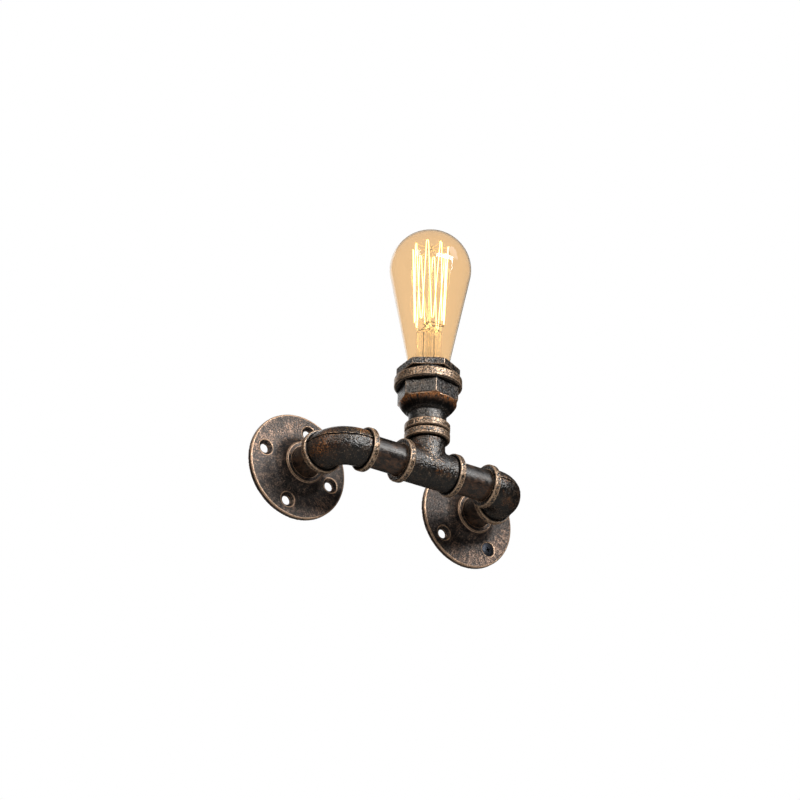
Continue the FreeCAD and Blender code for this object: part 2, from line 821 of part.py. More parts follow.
def wire_tube(points, diameter):
    # A six-sided wire along straight runs, cut at each inner point along the plane that halves the turn.
    along = [(points[k + 1] - points[k]).normalize() for k in range(len(points) - 1)]
    side = along[0].cross(Z if abs(along[0].z) < 0.9 else X).normalize()
    other = along[0].cross(side)
    ring = []
    for k in range(wire_sides):
        turn = 2 * math.pi * k / wire_sides
        ring.append(points[0] + (side * math.cos(turn) + other * math.sin(turn)) * (diameter / 2))
    rings = [ring]
    for k, heading in enumerate(along):
        plane = heading if k + 1 == len(along) else (heading + along[k + 1]).normalize()
        ahead = []
        for corner in rings[-1]:
            distance = (points[k + 1] - corner).dot(plane) / heading.dot(plane)
            ahead.append(corner + heading * distance)
        rings.append(ahead)
    faces = []
    for low, high in zip(rings, rings[1:]):
        for k in range(wire_sides):
            after = (k + 1) % wire_sides
            faces.append(Part.Face(Part.makePolygon([low[k], low[after], high[after], high[k], low[k]])))
    for end in (rings[0], rings[-1]):
        faces.append(Part.Face(Part.makePolygon(end + end[:1])))
    solid = Part.makeSolid(Part.makeShell(faces))
    if solid.Volume < 0:
        solid.reverse()
    return solid


def hooks(count, first_angle, step, radius, height, turned_up):
    # Wires from a glass button out to the filament, with the ends bent up or down to hold it.
    solids = []
    for k in range(count):
        angle = first_angle + step * k
        tip = radius + hook_wire + filament_wire
        points = [
            around_axis(arbor_button_od / 2, angle, height),
            around_axis(tip, angle, height),
            around_axis(tip, angle, height + turned_up * hook_tip),
        ]
        solids.append(wire_tube(points, hook_wire))
    return Part.makeCompound(solids)


def hook_step():
    return 360 / hook_count


def upper_hooks():
    return hooks(hook_count, 0, hook_step(), upper_hook_radius, upper_hook_height, 1)


def lower_hooks():
    return hooks(hook_count - 1, hook_step() / 2, hook_step(), lower_hook_radius, lower_hook_height, -1)


def lead_in_angles():
    gap = hook_step() / 2
    return (-gap + lead_in_angle, -gap - lead_in_angle)


def filament():
    # One wire up and down between the hooks, over each upper one and under each lower one.
    clear = (hook_wire + filament_wire) / 2 + filament_clearance
    start, end = lead_in_angles()
    points = [around_axis(lower_hook_radius, start, lower_hook_height)]
    for k in range(hook_count):
        for radius, height, angle in (
            (upper_hook_radius, upper_hook_height + clear, hook_step() * k),
            (lower_hook_radius, lower_hook_height - clear, hook_step() * (k + 0.5)),
        ):
            spread = math.degrees(filament_loop / radius)
            points.append(around_axis(radius, angle - spread, height))
            points.append(around_axis(radius, angle + spread, height))
    points = points[:-2]
    points.append(around_axis(lower_hook_radius, end, lower_hook_height))
    return wire_tube(points, filament_wire)


def lead_in_wires():
    # Two from the pinch to the filament's ends, and two inside the stem: to the cap and towards the tip.
    solids = []
    height = stem_top + lead_in_rise
    for side, angle, way in zip((1, -1), lead_in_angles(), lead_in_ways):
        out = middle + X * (side * lead_in_spread)
        points = [
            out + Z * stem_top,
            out + Z * height,
            around_axis(lead_in_round, way, height),
            around_axis(lower_hook_radius, angle, height),
            around_axis(lower_hook_radius, angle, lower_hook_height - filament_clearance),
        ]
        solids.append(wire_tube(points, lead_in_wire))
    ceiling = stem_shoulder
    foot = tip_height + insulator_foot + insulator_height + insulator_in_cap
    wall = cap_od / 2 - cap_wall - lead_in_wire
    solids.append(wire_tube([
        on_axis(ceiling) + X * lead_in_below,
        on_axis(lead_in_fork) + X * lead_in_below,
        on_axis(lead_in_join) + X * wall,
    ], lead_in_wire))
    solids.append(wire_tube([
        on_axis(ceiling) - X * lead_in_below,
        on_axis(lead_in_join) - X * lead_in_below,
        on_axis(foot + lead_in_wire),
    ], lead_in_wire))
    return Part.makeCompound(solids)


parts = {}
for name, corner, inward, bolt_angle in (
    ("left", left_corner, 1, left_bolt_angle),
    ("right", right_corner, -1, right_bolt_angle),
):
    parts[name + "_flange"] = flange(corner.x, bolt_angle)
    wall_start = FreeCAD.Vector(corner.x, -flange_seat, 0)
    wall_length = pipe_standoff - elbow_reach + thread_depth - flange_seat
    parts[name + "_wall_nipple"] = nipple(wall_start, -Y, wall_length)
    parts[name + "_elbow"] = elbow(corner, inward)
    run_start = corner + X * (inward * (elbow_reach - thread_depth))
    run_length = flange_spacing / 2 - elbow_reach - tee_reach + 2 * thread_depth
    parts[name + "_run_nipple"] = nipple(run_start, X * inward, run_length)
parts["tee"] = tee()
parts["riser_nipple"] = nipple(on_axis(tee_branch_reach - thread_depth), Z, branch_gap + 2 * thread_depth)
parts["bell_reducer"] = bell_reducer()
parts["hex_bushing"] = hex_bushing()
parts["lampholder_body"] = lampholder_body()
parts["lampholder_screw_shell"] = screw_shell()
parts["live_terminal"] = terminal(X)
parts["neutral_terminal"] = terminal(-X)
parts["terminal_screws"] = terminal_screws()
parts["contact_rivets"] = contact_rivets()
parts["centre_contact"] = centre_contact()
parts["earth_screw"] = earth_screw()
parts["earth_tag"] = earth_tag()
parts["live_lead"] = terminal_lead(X, lead_spread, 0)
parts["neutral_lead"] = terminal_lead(-X, -lead_rise, lead_side)
parts["earth_lead"] = earth_lead()
parts["lead_ferrules"] = ferrules()
parts["bulb_glass"] = bulb_glass()
parts["bulb_screw_cap"] = bulb_screw_cap()
parts["bulb_insulator"] = bulb_insulator()
parts["bulb_tip"] = bulb_tip()
parts["bulb_stem"] = bulb_stem()
parts["upper_filament_hooks"] = upper_hooks()
parts["lower_filament_hooks"] = lower_hooks()
parts["filament"] = filament()
parts["lead_in_wires"] = lead_in_wires()

os.makedirs("parts", exist_ok=True)
for name, shape in parts.items():
    shape.exportStep("parts/" + name + ".step")
    print(name, len(shape.Solids), round(shape.Volume, 1), shape.isValid())
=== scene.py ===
import math
import re

import bmesh
import bpy
import numpy as np
from mathutils import Matrix, Vector


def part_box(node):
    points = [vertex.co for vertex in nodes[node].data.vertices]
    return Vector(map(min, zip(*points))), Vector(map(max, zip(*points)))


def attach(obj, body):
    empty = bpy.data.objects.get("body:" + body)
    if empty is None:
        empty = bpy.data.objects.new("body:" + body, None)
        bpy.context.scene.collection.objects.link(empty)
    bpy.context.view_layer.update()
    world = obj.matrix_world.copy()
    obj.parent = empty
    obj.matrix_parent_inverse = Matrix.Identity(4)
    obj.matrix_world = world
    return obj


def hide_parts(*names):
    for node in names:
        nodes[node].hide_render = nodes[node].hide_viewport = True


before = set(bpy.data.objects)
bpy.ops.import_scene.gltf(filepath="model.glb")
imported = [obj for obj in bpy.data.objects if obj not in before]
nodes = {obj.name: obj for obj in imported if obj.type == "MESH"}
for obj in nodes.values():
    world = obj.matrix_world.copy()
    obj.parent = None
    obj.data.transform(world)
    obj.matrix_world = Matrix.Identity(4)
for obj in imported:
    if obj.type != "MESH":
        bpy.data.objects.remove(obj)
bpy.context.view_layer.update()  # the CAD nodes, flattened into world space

mm = 0.001
xAxis, yAxis, zAxis = Vector((1, 0, 0)), Vector((0, 1, 0)), Vector((0, 0, 1))


def middleOf(node):
    low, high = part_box(node)
    return (low + high) / 2


# where things are, read from the CAD boxes
lampAxis = middleOf("riser_nipple")  # upright axis of tee, bell and bulb
runLine = middleOf("left_run_nipple")
wallLines = {"left": middleOf("left_wall_nipple"), "right": middleOf("right_wall_nipple")}
inward = {"left": 1, "right": -1}  # towards the tee along X


# building nodes for materials and geometry; a helper without a tree finds it by its sockets
def port(sockets, name):
    # of several sockets with one name, the one in use
    return [one for one in sockets if one.name == name and one.enabled][0]


def put(tree, kind, sockets=None, **settings):
    node = tree.nodes.new(kind)
    for key, value in settings.items():
        setattr(node, key, value)
    for key, value in (sockets or {}).items():
        socket = port(node.inputs, key) if isinstance(key, str) else node.inputs[key]
        if isinstance(value, bpy.types.NodeSocket):
            tree.links.new(value, socket)
        elif socket.type == "RGBA":
            socket.default_value = (*value[:3], 1)
        else:
            socket.default_value = value
    return node


def treeOf(*values):
    return next(value.id_data for value in values if isinstance(value, bpy.types.NodeSocket))


def calc(operation, a, b=0.0, clamp=False, third=0.0):
    sockets = {0: a, 1: b, 2: third}
    return put(treeOf(a, b), "ShaderNodeMath", sockets, operation=operation, use_clamp=clamp).outputs[0]


def times(a, b):
    return calc("MULTIPLY", a, b)


def plus(a, b, clamp=False):
    return calc("ADD", a, b, clamp)


def minus(a, b):
    return calc("SUBTRACT", a, b)


def ratio(a, b, clamp=False):
    return calc("DIVIDE", a, b, clamp)


def most(a, *others):
    for b in others:
        a = calc("MAXIMUM", a, b)
    return a


def spread(value, low, high, toLow=0.0, toHigh=1.0, smooth=True):
    kind = "SMOOTHSTEP" if smooth else "LINEAR"
    sockets = {0: value, 1: low, 2: high, 3: toLow, 4: toHigh}
    return put(treeOf(value), "ShaderNodeMapRange", sockets, interpolation_type=kind).outputs[0]


def mixColour(factor, a, b):
    return put(treeOf(factor), "ShaderNodeMix", {0: factor, 6: a, 7: b}, data_type="RGBA").outputs[2]


def xyz(vector):
    return put(treeOf(vector), "ShaderNodeSeparateXYZ", {0: vector}).outputs


def grainOf(place, size, detail=4.0, rough=0.55):
    sockets = {"Vector": place, "Scale": 1 / size, "Detail": detail, "Roughness": rough}
    return put(treeOf(place), "ShaderNodeTexNoise", sockets).outputs[0]


def dotsOf(place, size):
    # round grains packed together: 1 on top of each, about 0.5 on average
    cells = put(treeOf(place), "ShaderNodeTexVoronoi", {"Vector": place, "Scale": 1 / size})
    return minus(1.0, times(cells.outputs["Distance"], 1.1))


def bump(height, strength, depth):
    sockets = {"Height": height, "Strength": strength, "Distance": depth}
    return put(treeOf(height), "ShaderNodeBump", sockets).outputs[0]


def attribute(place, name, kind="Fac"):
    return put(treeOf(place), "ShaderNodeAttribute", attribute_name=name).outputs[kind]


def startMaterial(name):
    material = bpy.data.materials.new(name)
    material.use_nodes = True
    material.node_tree.nodes.clear()
    return material, put(material.node_tree, "ShaderNodeTexCoord").outputs["Object"]


principled = {
    "colour": "Base Color",
    "rough": "Roughness",
    "metal": "Metallic",
    "gloss": "Specular IOR Level",
    "sheenTint": "Specular Tint",
    "normal": "Normal",
    "through": "Transmission Weight",
    "ior": "IOR",
    "glow": "Emission Color",
    "glowPower": "Emission Strength",
}


def finishMaterial(material, **sockets):
    tree = material.node_tree
    shader = put(tree, "ShaderNodeBsdfPrincipled", {principled[key]: value for key, value in sockets.items()})
    out = put(tree, "ShaderNodeOutputMaterial")
    tree.links.new(shader.outputs[0], out.inputs["Surface"])
    return material


# black casting with coppery paste rubbed over it
bronzeCast = {
    "black": (0.0042, 0.0038, 0.0038),
    "brown": (0.036, 0.021, 0.012),
    "rust": (0.50, 0.180, 0.050),
    "dusty": (0.30, 0.215, 0.150),
    "copper": (0.43, 0.245, 0.138),
    "tan": (0.62, 0.435, 0.285),
    "bright": (0.74, 0.50, 0.33),
    "highlight": (1.0, 0.95, 0.90),
    "patch": 15 * mm,
    "mottle": 4.2 * mm,
    "streak": 1.6 * mm,
    "sand": 1.8 * mm,
    "grain": 1.05 * mm,
    "pits": 1.0 * mm,
    "pitted": 0.72,
    "dust": 0.27,
    "band": 0.76,
    "edge": 0.85,
    "soft": 0.035,
    "brushed": 0.72,
    "rustPatch": 0.35,
    "between": 0.30,
    "speckle": 0.10,
    "gloss": 0.95,
    "rough": 0.26,
    "relief": 0.98 * mm,
}


def castMaterial(name, **changes):
    look = dict(bronzeCast, **changes)
    material, place = startMaterial(name)
    wear = attribute(place, "wear")
    patch = grainOf(place, look["patch"], 3)
    mottle = grainOf(place, look["mottle"], 5, 0.6)
    streak = grainOf(attribute(place, "brush", "Vector"), look["streak"], 4, 0.6)
    sand = grainOf(place, look["sand"], 2, 0.5)
    grain = dotsOf(place, look["grain"])
    high = plus(times(grain, 0.40), times(sand, 0.60))
    # how far the copper paste is rubbed on: bead faces, edges and a dusting elsewhere, and, as painted light,
    # more of it on the places where the light falls
    dust = times(spread(mottle, 0.36, 0.62, 0.45, 1.0), look["dust"])
    # painted light: paste laid thicker where the light falls
    lit = times(attribute(place, "rubAndPaintedLight"), spread(patch, 0.36, 0.60, 0.45, 1.0))
    pasteAndPaintedLight = most(times(attribute(place, "band"), look["band"]), dust, lit)
    pasteAndPaintedLight = times(pasteAndPaintedLight, spread(streak, 0.25, 0.55, look["brushed"], 1.0))
    # it catches on the high grain first
    level = minus(0.72 - look["soft"], times(pasteAndPaintedLight, 0.36))
    edge = times(spread(wear, 0.25, 0.8), spread(sand, 0.30, 0.48, 0.4, 1.0))
    cover = most(spread(high, level, plus(level, 2 * look["soft"])), times(edge, look["edge"]))
    base = mixColour(spread(mottle, 0.42, 0.72), look["black"], look["brown"])
    rusty = plus(times(spread(patch, 0.56, 0.70), look["rustPatch"]), attribute(place, "rust"), True)
    rusty = times(rusty, spread(streak, 0.42, 0.54, look["between"], 1.0))
    rusty = times(rusty, spread(high, 0.44, 0.56, look["speckle"], 0.95))
    paste = mixColour(spread(streak, 0.40, 0.62), look["copper"], look["tan"])
    paste = mixColour(spread(pasteAndPaintedLight, 0.30, 0.60), look["dusty"], paste)
    pits = times(spread(grainOf(place, look["pits"], 2), 0.47, 0.38), look["pitted"])
    paste = mixColour(pits, paste, look["black"])
    paste = mixColour(spread(wear, 0.3, 0.9), paste, look["bright"])
    colour = mixColour(rusty, mixColour(cover, base, paste), look["rust"])
    # black in the seam's groove and in crevices, and as painted shade under the bell's bowl
    dark = most(attribute(place, "crevice"), attribute(place, "seamAndPaintedShade"))
    rough = spread(mottle, 0.25, 0.75, look["rough"] - 0.07, look["rough"] + 0.07)
    height = plus(plus(plus(times(sand, 0.6), times(grain, 0.22)), times(mottle, 0.12)), times(streak, 0.25))
    return finishMaterial(
        material,
        colour=mixColour(times(dark, 0.92), colour, look["black"]),
        metal=most(spread(cover, 0.0, 1.0, 0.0, 0.55), dark),
        rough=plus(rough, times(dark, 0.45), True),
        gloss=look["gloss"],
        sheenTint=look["highlight"],
        normal=bump(height, 0.9, look["relief"]),
    )


# satin black pipe, worn brown
drawnPipe = {
    "black": (0.0058, 0.0050, 0.0048),
    "brown": (0.040, 0.023, 0.014),
    # the brown of the patches and of the pipe's lower side
    "rust": (0.185, 0.072, 0.026),
    "highlight": (1.0, 0.94, 0.88),
    "patch": 9 * mm,
    "mottle": 3.2 * mm,
    "grain": 1.1 * mm,
    "along": 0.6,
    "gloss": 1.0,
    "rough": (0.24, 0.40),
    "relief": 0.34 * mm,
}


def pipeMaterial(name, along, browner=0.0):
    look = drawnPipe
    material, place = startMaterial(name)
    squeeze = [1.0, 1.0, 1.0]
    squeeze[along] = look["along"]  # the marks run along the pipe
    drawn = put(material.node_tree, "ShaderNodeMapping", {"Vector": place, "Scale": squeeze}).outputs[0]
    patch = grainOf(place, look["patch"], 3)
    mottle = grainOf(drawn, look["mottle"], 5, 0.65)
    grain = dotsOf(place, look["grain"])
    # browner towards the bottom of the pipe, beside the random brown patches
    under = times(spread(xyz(place)[2], -1 * mm, -9 * mm), browner)
    brownShare = most(spread(patch, 0.50, 0.66, 0.0, 0.6), under)
    brownShare = times(brownShare, spread(mottle, 0.42, 0.60, 0.15, 1.0))
    brownShare = times(brownShare, spread(grain, 0.35, 0.62, 0.35, 1.0))
    base = mixColour(spread(mottle, 0.44, 0.72), look["black"], look["brown"])
    return finishMaterial(
        material,
        colour=mixColour(brownShare, base, look["rust"]),
        rough=spread(mottle, 0.25, 0.75, *look["rough"]),
        gloss=look["gloss"],
        sheenTint=look["highlight"],
        normal=bump(plus(times(grain, 0.25), mottle), 0.8, look["relief"]),
    )


def cloudy(grain, first, second, low=0.3):
    return mixColour(spread(grain, low, 0.7), first, second)


plainMetal = {"metal": 0.95, "cloud": 3 * mm, "fine": 0.35 * mm, "rough": (0.28, 0.42), "marked": 0.2}


def metalMaterial(name, bright, dull, **changes):
    look = dict(plainMetal, **changes)
    material, place = startMaterial(name)
    marks = grainOf(place, look["fine"], 3)
    return finishMaterial(
        material,
        colour=cloudy(grainOf(place, look["cloud"], 4), bright, dull, 0.35),
        metal=look["metal"],
        rough=spread(marks, 0.3, 0.7, *look["rough"]),
        normal=bump(marks, look["marked"], 0.03 * mm),
    )


def porcelainMaterial():
    material, place = startMaterial("porcelain")
    fine, large = grainOf(place, 0.8 * mm, 4), grainOf(place, 9 * mm, 3)
    colour = cloudy(large, (0.80, 0.77, 0.70), (0.86, 0.84, 0.79))
    return finishMaterial(
        material,
        colour=mixColour(spread(fine, 0.62, 0.72, 0.0, 0.25), colour, (0.55, 0.50, 0.43)),
        rough=spread(large, 0.3, 0.7, 0.3, 0.42),
        normal=bump(fine, 0.2, 0.05 * mm),
    )


def plainMaterial(name, first, second, size, rough, low=0.3, **sockets):
    # one grain sets both the colour and the gloss
    material, place = startMaterial(name)
    grain = grainOf(place, size, 4)
    sockets["colour"] = cloudy(grain, first, second, low)
    return finishMaterial(material, rough=spread(grain, 0.3, 0.7, *rough), **sockets)


def sleeveMaterial(name, first, second=None):
    material, place = startMaterial(name)
    fine = grainOf(place, 0.7 * mm, 3)
    colour = cloudy(fine, first, tuple(c * 0.8 for c in first))
    if second:
        colour = mixColour(spread(xyz(place)[2], -0.7 * mm, -0.3 * mm), colour, second)
    return finishMaterial(material, colour=colour, rough=spread(fine, 0.3, 0.7, 0.35, 0.45))


def glassMaterial(name, tint, rim, rough=0.0):
    material, place = startMaterial(name)
    facing = put(material.node_tree, "ShaderNodeLayerWeight", {"Blend": 0.5}).outputs["Facing"]
    return finishMaterial(
        material,
        colour=mixColour(spread(facing, 0.72, 0.98), tint, rim),  # more glass at the edge
        rough=rough,
        through=1.0,
        ior=1.46,
        normal=bump(grainOf(place, 26 * mm, 2), 0.08, 0.6 * mm),
    )


ferrule = {"collarEnd": -6.85 * mm, "collarStart": -7.05 * mm, "ridges": 0.9 * mm}


def ferruleMaterial():
    # a bare crimped sleeve and, away from the wall, its grey plastic collar
    material, place = startMaterial("crimpedFerrule")
    fine, along = grainOf(place, 0.4 * mm, 3), xyz(place)[1]
    collar = spread(along, ferrule["collarEnd"], ferrule["collarStart"])
    tinned = cloudy(fine, (0.62, 0.62, 0.60), (0.45, 0.45, 0.44))
    plastic = cloudy(fine, (0.30, 0.31, 0.33), (0.24, 0.25, 0.27))
    ridges = calc("SINE", times(along, 2 * math.pi / ferrule["ridges"]))
    return finishMaterial(
        material,
        colour=mixColour(collar, tinned, plastic),
        metal=spread(collar, 0.4, 0.6, 0.95, 0.0),
        rough=spread(fine, 0.3, 0.7, 0.30, 0.42),
        normal=bump(times(ridges, spread(collar, 0.0, 0.5, 1.0, 0.0)), 0.4, 0.08 * mm),
    )


glowPowers = {"low": 7.5, "high": 9.5, "from": 60 * mm, "to": 80 * mm}  # heights above the riser's middle


def glowMaterial():
    material, place = startMaterial("glowingFilament")
    low, high = lampAxis.z + glowPowers["from"], lampAxis.z + glowPowers["to"]
    return finishMaterial(
        material,
        colour=(0.1, 0.05, 0.02),
        rough=0.6,
        glow=cloudy(grainOf(place, 6 * mm, 2), (1.0, 0.70, 0.24), (1.0, 0.80, 0.34)),
        glowPower=spread(xyz(place)[2], low, high, glowPowers["low"], glowPowers["high"]),
    )


castBody = castMaterial("bronzedCasting")
castFlange = castMaterial(
    "bronzedFlange",
    black=(0.0060, 0.0060, 0.0072),
    brown=(0.046, 0.033, 0.027),
    dusty=(0.165, 0.125, 0.102),
    sand=1.35 * mm,
    grain=0.85 * mm,
    copper=(0.32, 0.195, 0.138),
    tan=(0.42, 0.275, 0.195),
    soft=0.21,
    dust=0.52,
    bright=(0.62, 0.40, 0.26),
    pitted=0.40,
    edge=1.0,
    brushed=0.25,
    rustPatch=0.12,
    streak=2.2 * mm,
    gloss=0.44,
    highlight=(1.0, 0.86, 0.76),
    rough=0.34,
    relief=0.50 * mm,
)
castBell = castMaterial(
    "bronzedBell",
    dusty=(0.190, 0.176, 0.166),
    dust=0.43,
    soft=0.06,
    rustPatch=0.10,
    between=0.0,
    speckle=0.45,
    streak=1.3 * mm,
    band=0.80,
    gloss=0.78,
    relief=0.80 * mm,
)
castHex = castMaterial(
    "bronzedBushing",
    rustPatch=0.0,
    dust=0.52,
    edge=1.1,
    soft=0.06,
    dusty=(0.33, 0.285, 0.25),
)
runPipe = pipeMaterial("blackenedRunPipe", 0, 0.55)
wallPipe = pipeMaterial("blackenedWallPipe", 1, 0.35)
risePipe = pipeMaterial("blackenedRisePipe", 2)
porcelain = porcelainMaterial()
rolled = {"metal": 1.0, "cloud": 5 * mm, "fine": 0.5 * mm, "rough": (0.22, 0.36), "marked": 0.15}
brass = metalMaterial("rolledBrass", (0.72, 0.50, 0.22), (0.42, 0.27, 0.12), **rolled)
agedBrass = metalMaterial("capBrass", (0.66, 0.47, 0.24), (0.36, 0.24, 0.12), **rolled)
zinc = metalMaterial("zincPlate", (0.62, 0.62, 0.60), (0.40, 0.40, 0.39))
blackScrew = metalMaterial("blackedScrew", (0.018, 0.020, 0.026), (0.006, 0.006, 0.008), metal=0.8)
solder = metalMaterial("dullSolder", (0.60, 0.60, 0.58), (0.34, 0.34, 0.33))
bareWire = metalMaterial("bareWire", (0.42, 0.39, 0.35), (0.22, 0.20, 0.18))
hookWire = plainMaterial(  # lit up by the filament that hangs on it
    "hookWire",
    (0.62, 0.50, 0.34),
    (0.42, 0.33, 0.22),
    3 * mm,
    (0.35, 0.5),
    low=0.35,
    metal=0.4,
    glow=(1.0, 0.70, 0.36),
    glowPower=0.9,
)
amberGlass = glassMaterial("amberGlass", (0.94, 0.750, 0.530), (0.22, 0.10, 0.035))
stemGlass = glassMaterial("stemGlass", (1.0, 0.985, 0.95), (0.92, 0.86, 0.76), 0.04)
glowing = glowMaterial()
vitrite = plainMaterial("blackVitrite", (0.012, 0.012, 0.016), (0.03, 0.028, 0.035), 1.2 * mm, (0.12, 0.25))
brownSleeve = sleeveMaterial("brownSleeve", (0.12, 0.05, 0.025))
blueSleeve = sleeveMaterial("blueSleeve", (0.03, 0.12, 0.42))
earthSleeve = sleeveMaterial("earthSleeve", (0.05, 0.30, 0.06), (0.75, 0.62, 0.05))
crimped = ferruleMaterial()
print("finishes ready")


def newObject(name, mesh):
    thing = bpy.data.objects.new(name, mesh)
    bpy.context.scene.collection.objects.link(thing)
    return thing


def addPiece(name, mesh, finish, body, slotName, *replaced):
    mesh.materials.clear()
    mesh.materials.append(finish)
    piece = newObject(name, mesh)
    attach(piece, body)
    if replaced:
        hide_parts(*replaced)


def settled(holder, name):
    # the holder's mesh with its modifiers worked in
    bpy.context.view_layer.update()
    evaluated = holder.evaluated_get(bpy.context.evaluated_depsgraph_get())
    mesh = bpy.data.meshes.new_from_object(evaluated)
    mesh.name = name
    bpy.data.objects.remove(holder)
    return mesh


def modified(holder, name, kind, **settings):
    modifier = holder.modifiers.new(name, kind)
    for key, value in settings.items():
        setattr(modifier, key, value)
    return modifier


def cadCopy(node):
    mesh = nodes[node].data.copy()
    work = bmesh.new()
    work.from_mesh(mesh)
    bmesh.ops.remove_doubles(work, verts=work.verts, dist=0.002 * mm)
    bmesh.ops.dissolve_degenerate(work, edges=work.edges, dist=0.001 * mm)
    work.to_mesh(mesh)
    work.free()
    if "custom_normal" in mesh.attributes:
        mesh.attributes.remove(mesh.attributes["custom_normal"])
    return newObject(node + "Holder", mesh)


def softCopy(node, edge=0.12 * mm, turn=34):
    # a CAD node with its edges eased
    holder = cadCopy(node)
    if edge:
        modified(
            holder,
            "edges",
            "BEVEL",
            width=edge,
            segments=2,
            limit_method="ANGLE",
            angle_limit=math.radians(turn),
            use_clamp_overlap=True,
        )
    mesh = settled(holder, node)
    mesh.shade_smooth()
    return sharpen(mesh, turn + 6)


def sharpen(mesh, angle=40):
    mesh.set_sharp_from_angle(angle=math.radians(angle))
    return mesh


def growOn(holder, tree, values):
    # a node tree as a modifier, with its named inputs set
    growth = modified(holder, "growth", "NODES", node_group=tree)
    for item in tree.interface.items_tree:
        if item.in_out == "INPUT" and item.name in values:
            growth[item.identifier] = values[item.name]


def startTree(name, inputs):
    tree = bpy.data.node_groups.new(name, "GeometryNodeTree")
    tree.interface.new_socket("Geometry", in_out="INPUT", socket_type="NodeSocketGeometry")
    for label, default in inputs.items():
        kind = "NodeSocketInt" if isinstance(default, int) else "NodeSocketFloat"
        tree.interface.new_socket(label, in_out="INPUT", socket_type=kind).default_value = default
    tree.interface.new_socket("Material", in_out="INPUT", socket_type="NodeSocketMaterial")
    tree.interface.new_socket("Geometry", in_out="OUTPUT", socket_type="NodeSocketGeometry")
    return tree, put(tree, "NodeGroupInput").outputs


def endTree(tree, given, geometry):
    real = put(tree, "GeometryNodeRealizeInstances", {0: geometry}).outputs[0]
    done = put(tree, "GeometryNodeSetMaterial", {"Geometry": real, "Material": given["Material"]})
    put(tree, "NodeGroupOutput", {"Geometry": done.outputs[0]})
    return tree


def vectorCalc(operation, a, b, result=0):
    return put(treeOf(a, b), "ShaderNodeVectorMath", {0: a, 1: b}, operation=operation).outputs[result]


def scaled(vector, amount):
    sockets = {0: vector, "Scale": amount}
    return put(treeOf(vector), "ShaderNodeVectorMath", sockets, operation="SCALE").outputs[0]


def moved(geometry, **change):
    sockets = {"Geometry": geometry, **change}
    return put(treeOf(geometry), "GeometryNodeSetPosition", sockets).outputs[0]


def buildCastSkin():
    # the sand's roughness on a casting, and how far each point stands proud or lies hidden
    tree, given = startTree("castSkin", {
        "Swell size": 9 * mm,
        "Swell depth": 0.20 * mm,
        "Sand size": 1.1 * mm,
        "Sand depth": 0.07 * mm,
        "Wear reach": 5,
        "Wear depth": 0.12 * mm,
        "Seed": 1.0,
    })
    place = put(tree, "GeometryNodeInputPosition").outputs[0]
    normal = put(tree, "GeometryNodeInputNormal").outputs[0]
    blur = {"Value": place, "Iterations": given["Wear reach"]}
    blurred = put(tree, "GeometryNodeBlurAttribute", blur, data_type="FLOAT_VECTOR")
    smoothed = [one for one in blurred.outputs if one.enabled][0]
    proud = vectorCalc("DOT_PRODUCT", vectorCalc("SUBTRACT", place, smoothed), normal, "Value")
    shape = given["Geometry"]
    for name, way in (("wear", 1.0), ("crevice", -1.0)):
        share = ratio(times(proud, way), given["Wear depth"], True)
        kept = {"Geometry": shape, "Name": name, "Value": share}
        stored = put(tree, "GeometryNodeStoreNamedAttribute", kept, data_type="FLOAT", domain="POINT")
        shape = stored.outputs[0]
    lift = 0.0
    for kind in ("Swell", "Sand"):
        size = ratio(1.0, given[kind + " size"])
        sockets = {"Vector": place, "W": given["Seed"], "Scale": size, "Detail": 3.0}
        noise = put(tree, "ShaderNodeTexNoise", sockets, noise_dimensions="4D").outputs[0]
        lift = plus(lift, times(minus(noise, 0.8), given[kind + " depth"]))
    return endTree(tree, given, moved(shape, Offset=scaled(normal, lift)))


castSkin = buildCastSkin()


def castMesh(node, grid, softening=2, **skin):
    holder = cadCopy(node)
    modified(holder, "grid", "REMESH", mode="VOXEL", voxel_size=grid)
    modified(holder, "soften", "SMOOTH", factor=0.5, iterations=softening)
    # sandDepth is the input "Sand depth"
    growOn(holder, castSkin, {re.sub("([A-Z])", r" \1", key).capitalize(): skin[key] for key in skin})
    mesh = settled(holder, node)
    mesh.shade_smooth()
    return mesh


def points(mesh):
    co = np.empty(len(mesh.vertices) * 3, np.float32)
    mesh.vertices.foreach_get("co", co)
    return co.reshape(-1, 3).astype(float)


def setPoints(mesh, co):
    mesh.vertices.foreach_set("co", co.astype(np.float32).ravel())
    mesh.update()


def normals(mesh):
    out = np.empty(len(mesh.vertices) * 3, np.float32)
    mesh.vertex_normals.foreach_get("vector", out)
    return out.reshape(-1, 3).astype(float)


def keepValues(mesh, name, values):
    # on the mesh for its finish to read
    kind, field = ("FLOAT", "value") if values.ndim == 1 else ("FLOAT_VECTOR", "vector")
    layer = mesh.attributes.get(name) or mesh.attributes.new(name, kind, "POINT")
    layer.data.foreach_set(field, values.astype(np.float32).ravel())


def ease(value, low, high):
    share = np.clip((value - low) / (high - low), 0, 1)
    return share * share * (3 - 2 * share)


def awayFrom(co, centre, axis):
    arm = co - np.array(centre)
    arm[:, axis] = 0
    return np.linalg.norm(arm, axis=1)


def wobble(values, seed, waves=7):
    # a smooth irregular line through a few sines, about -1 to 1
    rng = np.random.default_rng(seed)
    total = np.zeros_like(values)
    for k in range(1, waves):
        total += np.sin(values * k * rng.uniform(0.7, 1.3) + rng.uniform(0, 6.28)) / k
    return total / 1.5


def brushRound(mesh, co, centre, axis, around, out, along):
    # marks laid out by angle, distance from the axis and place along it
    arm = co - np.array(centre)
    u, v = [k for k in range(3) if k != axis]
    angle = np.arctan2(arm[:, v], arm[:, u])
    away = np.hypot(arm[:, u], arm[:, v])
    ring = [np.cos(angle) * around, np.sin(angle) * around, away * out + arm[:, axis] * along]
    keepValues(mesh, "brush", np.stack(ring, 1))


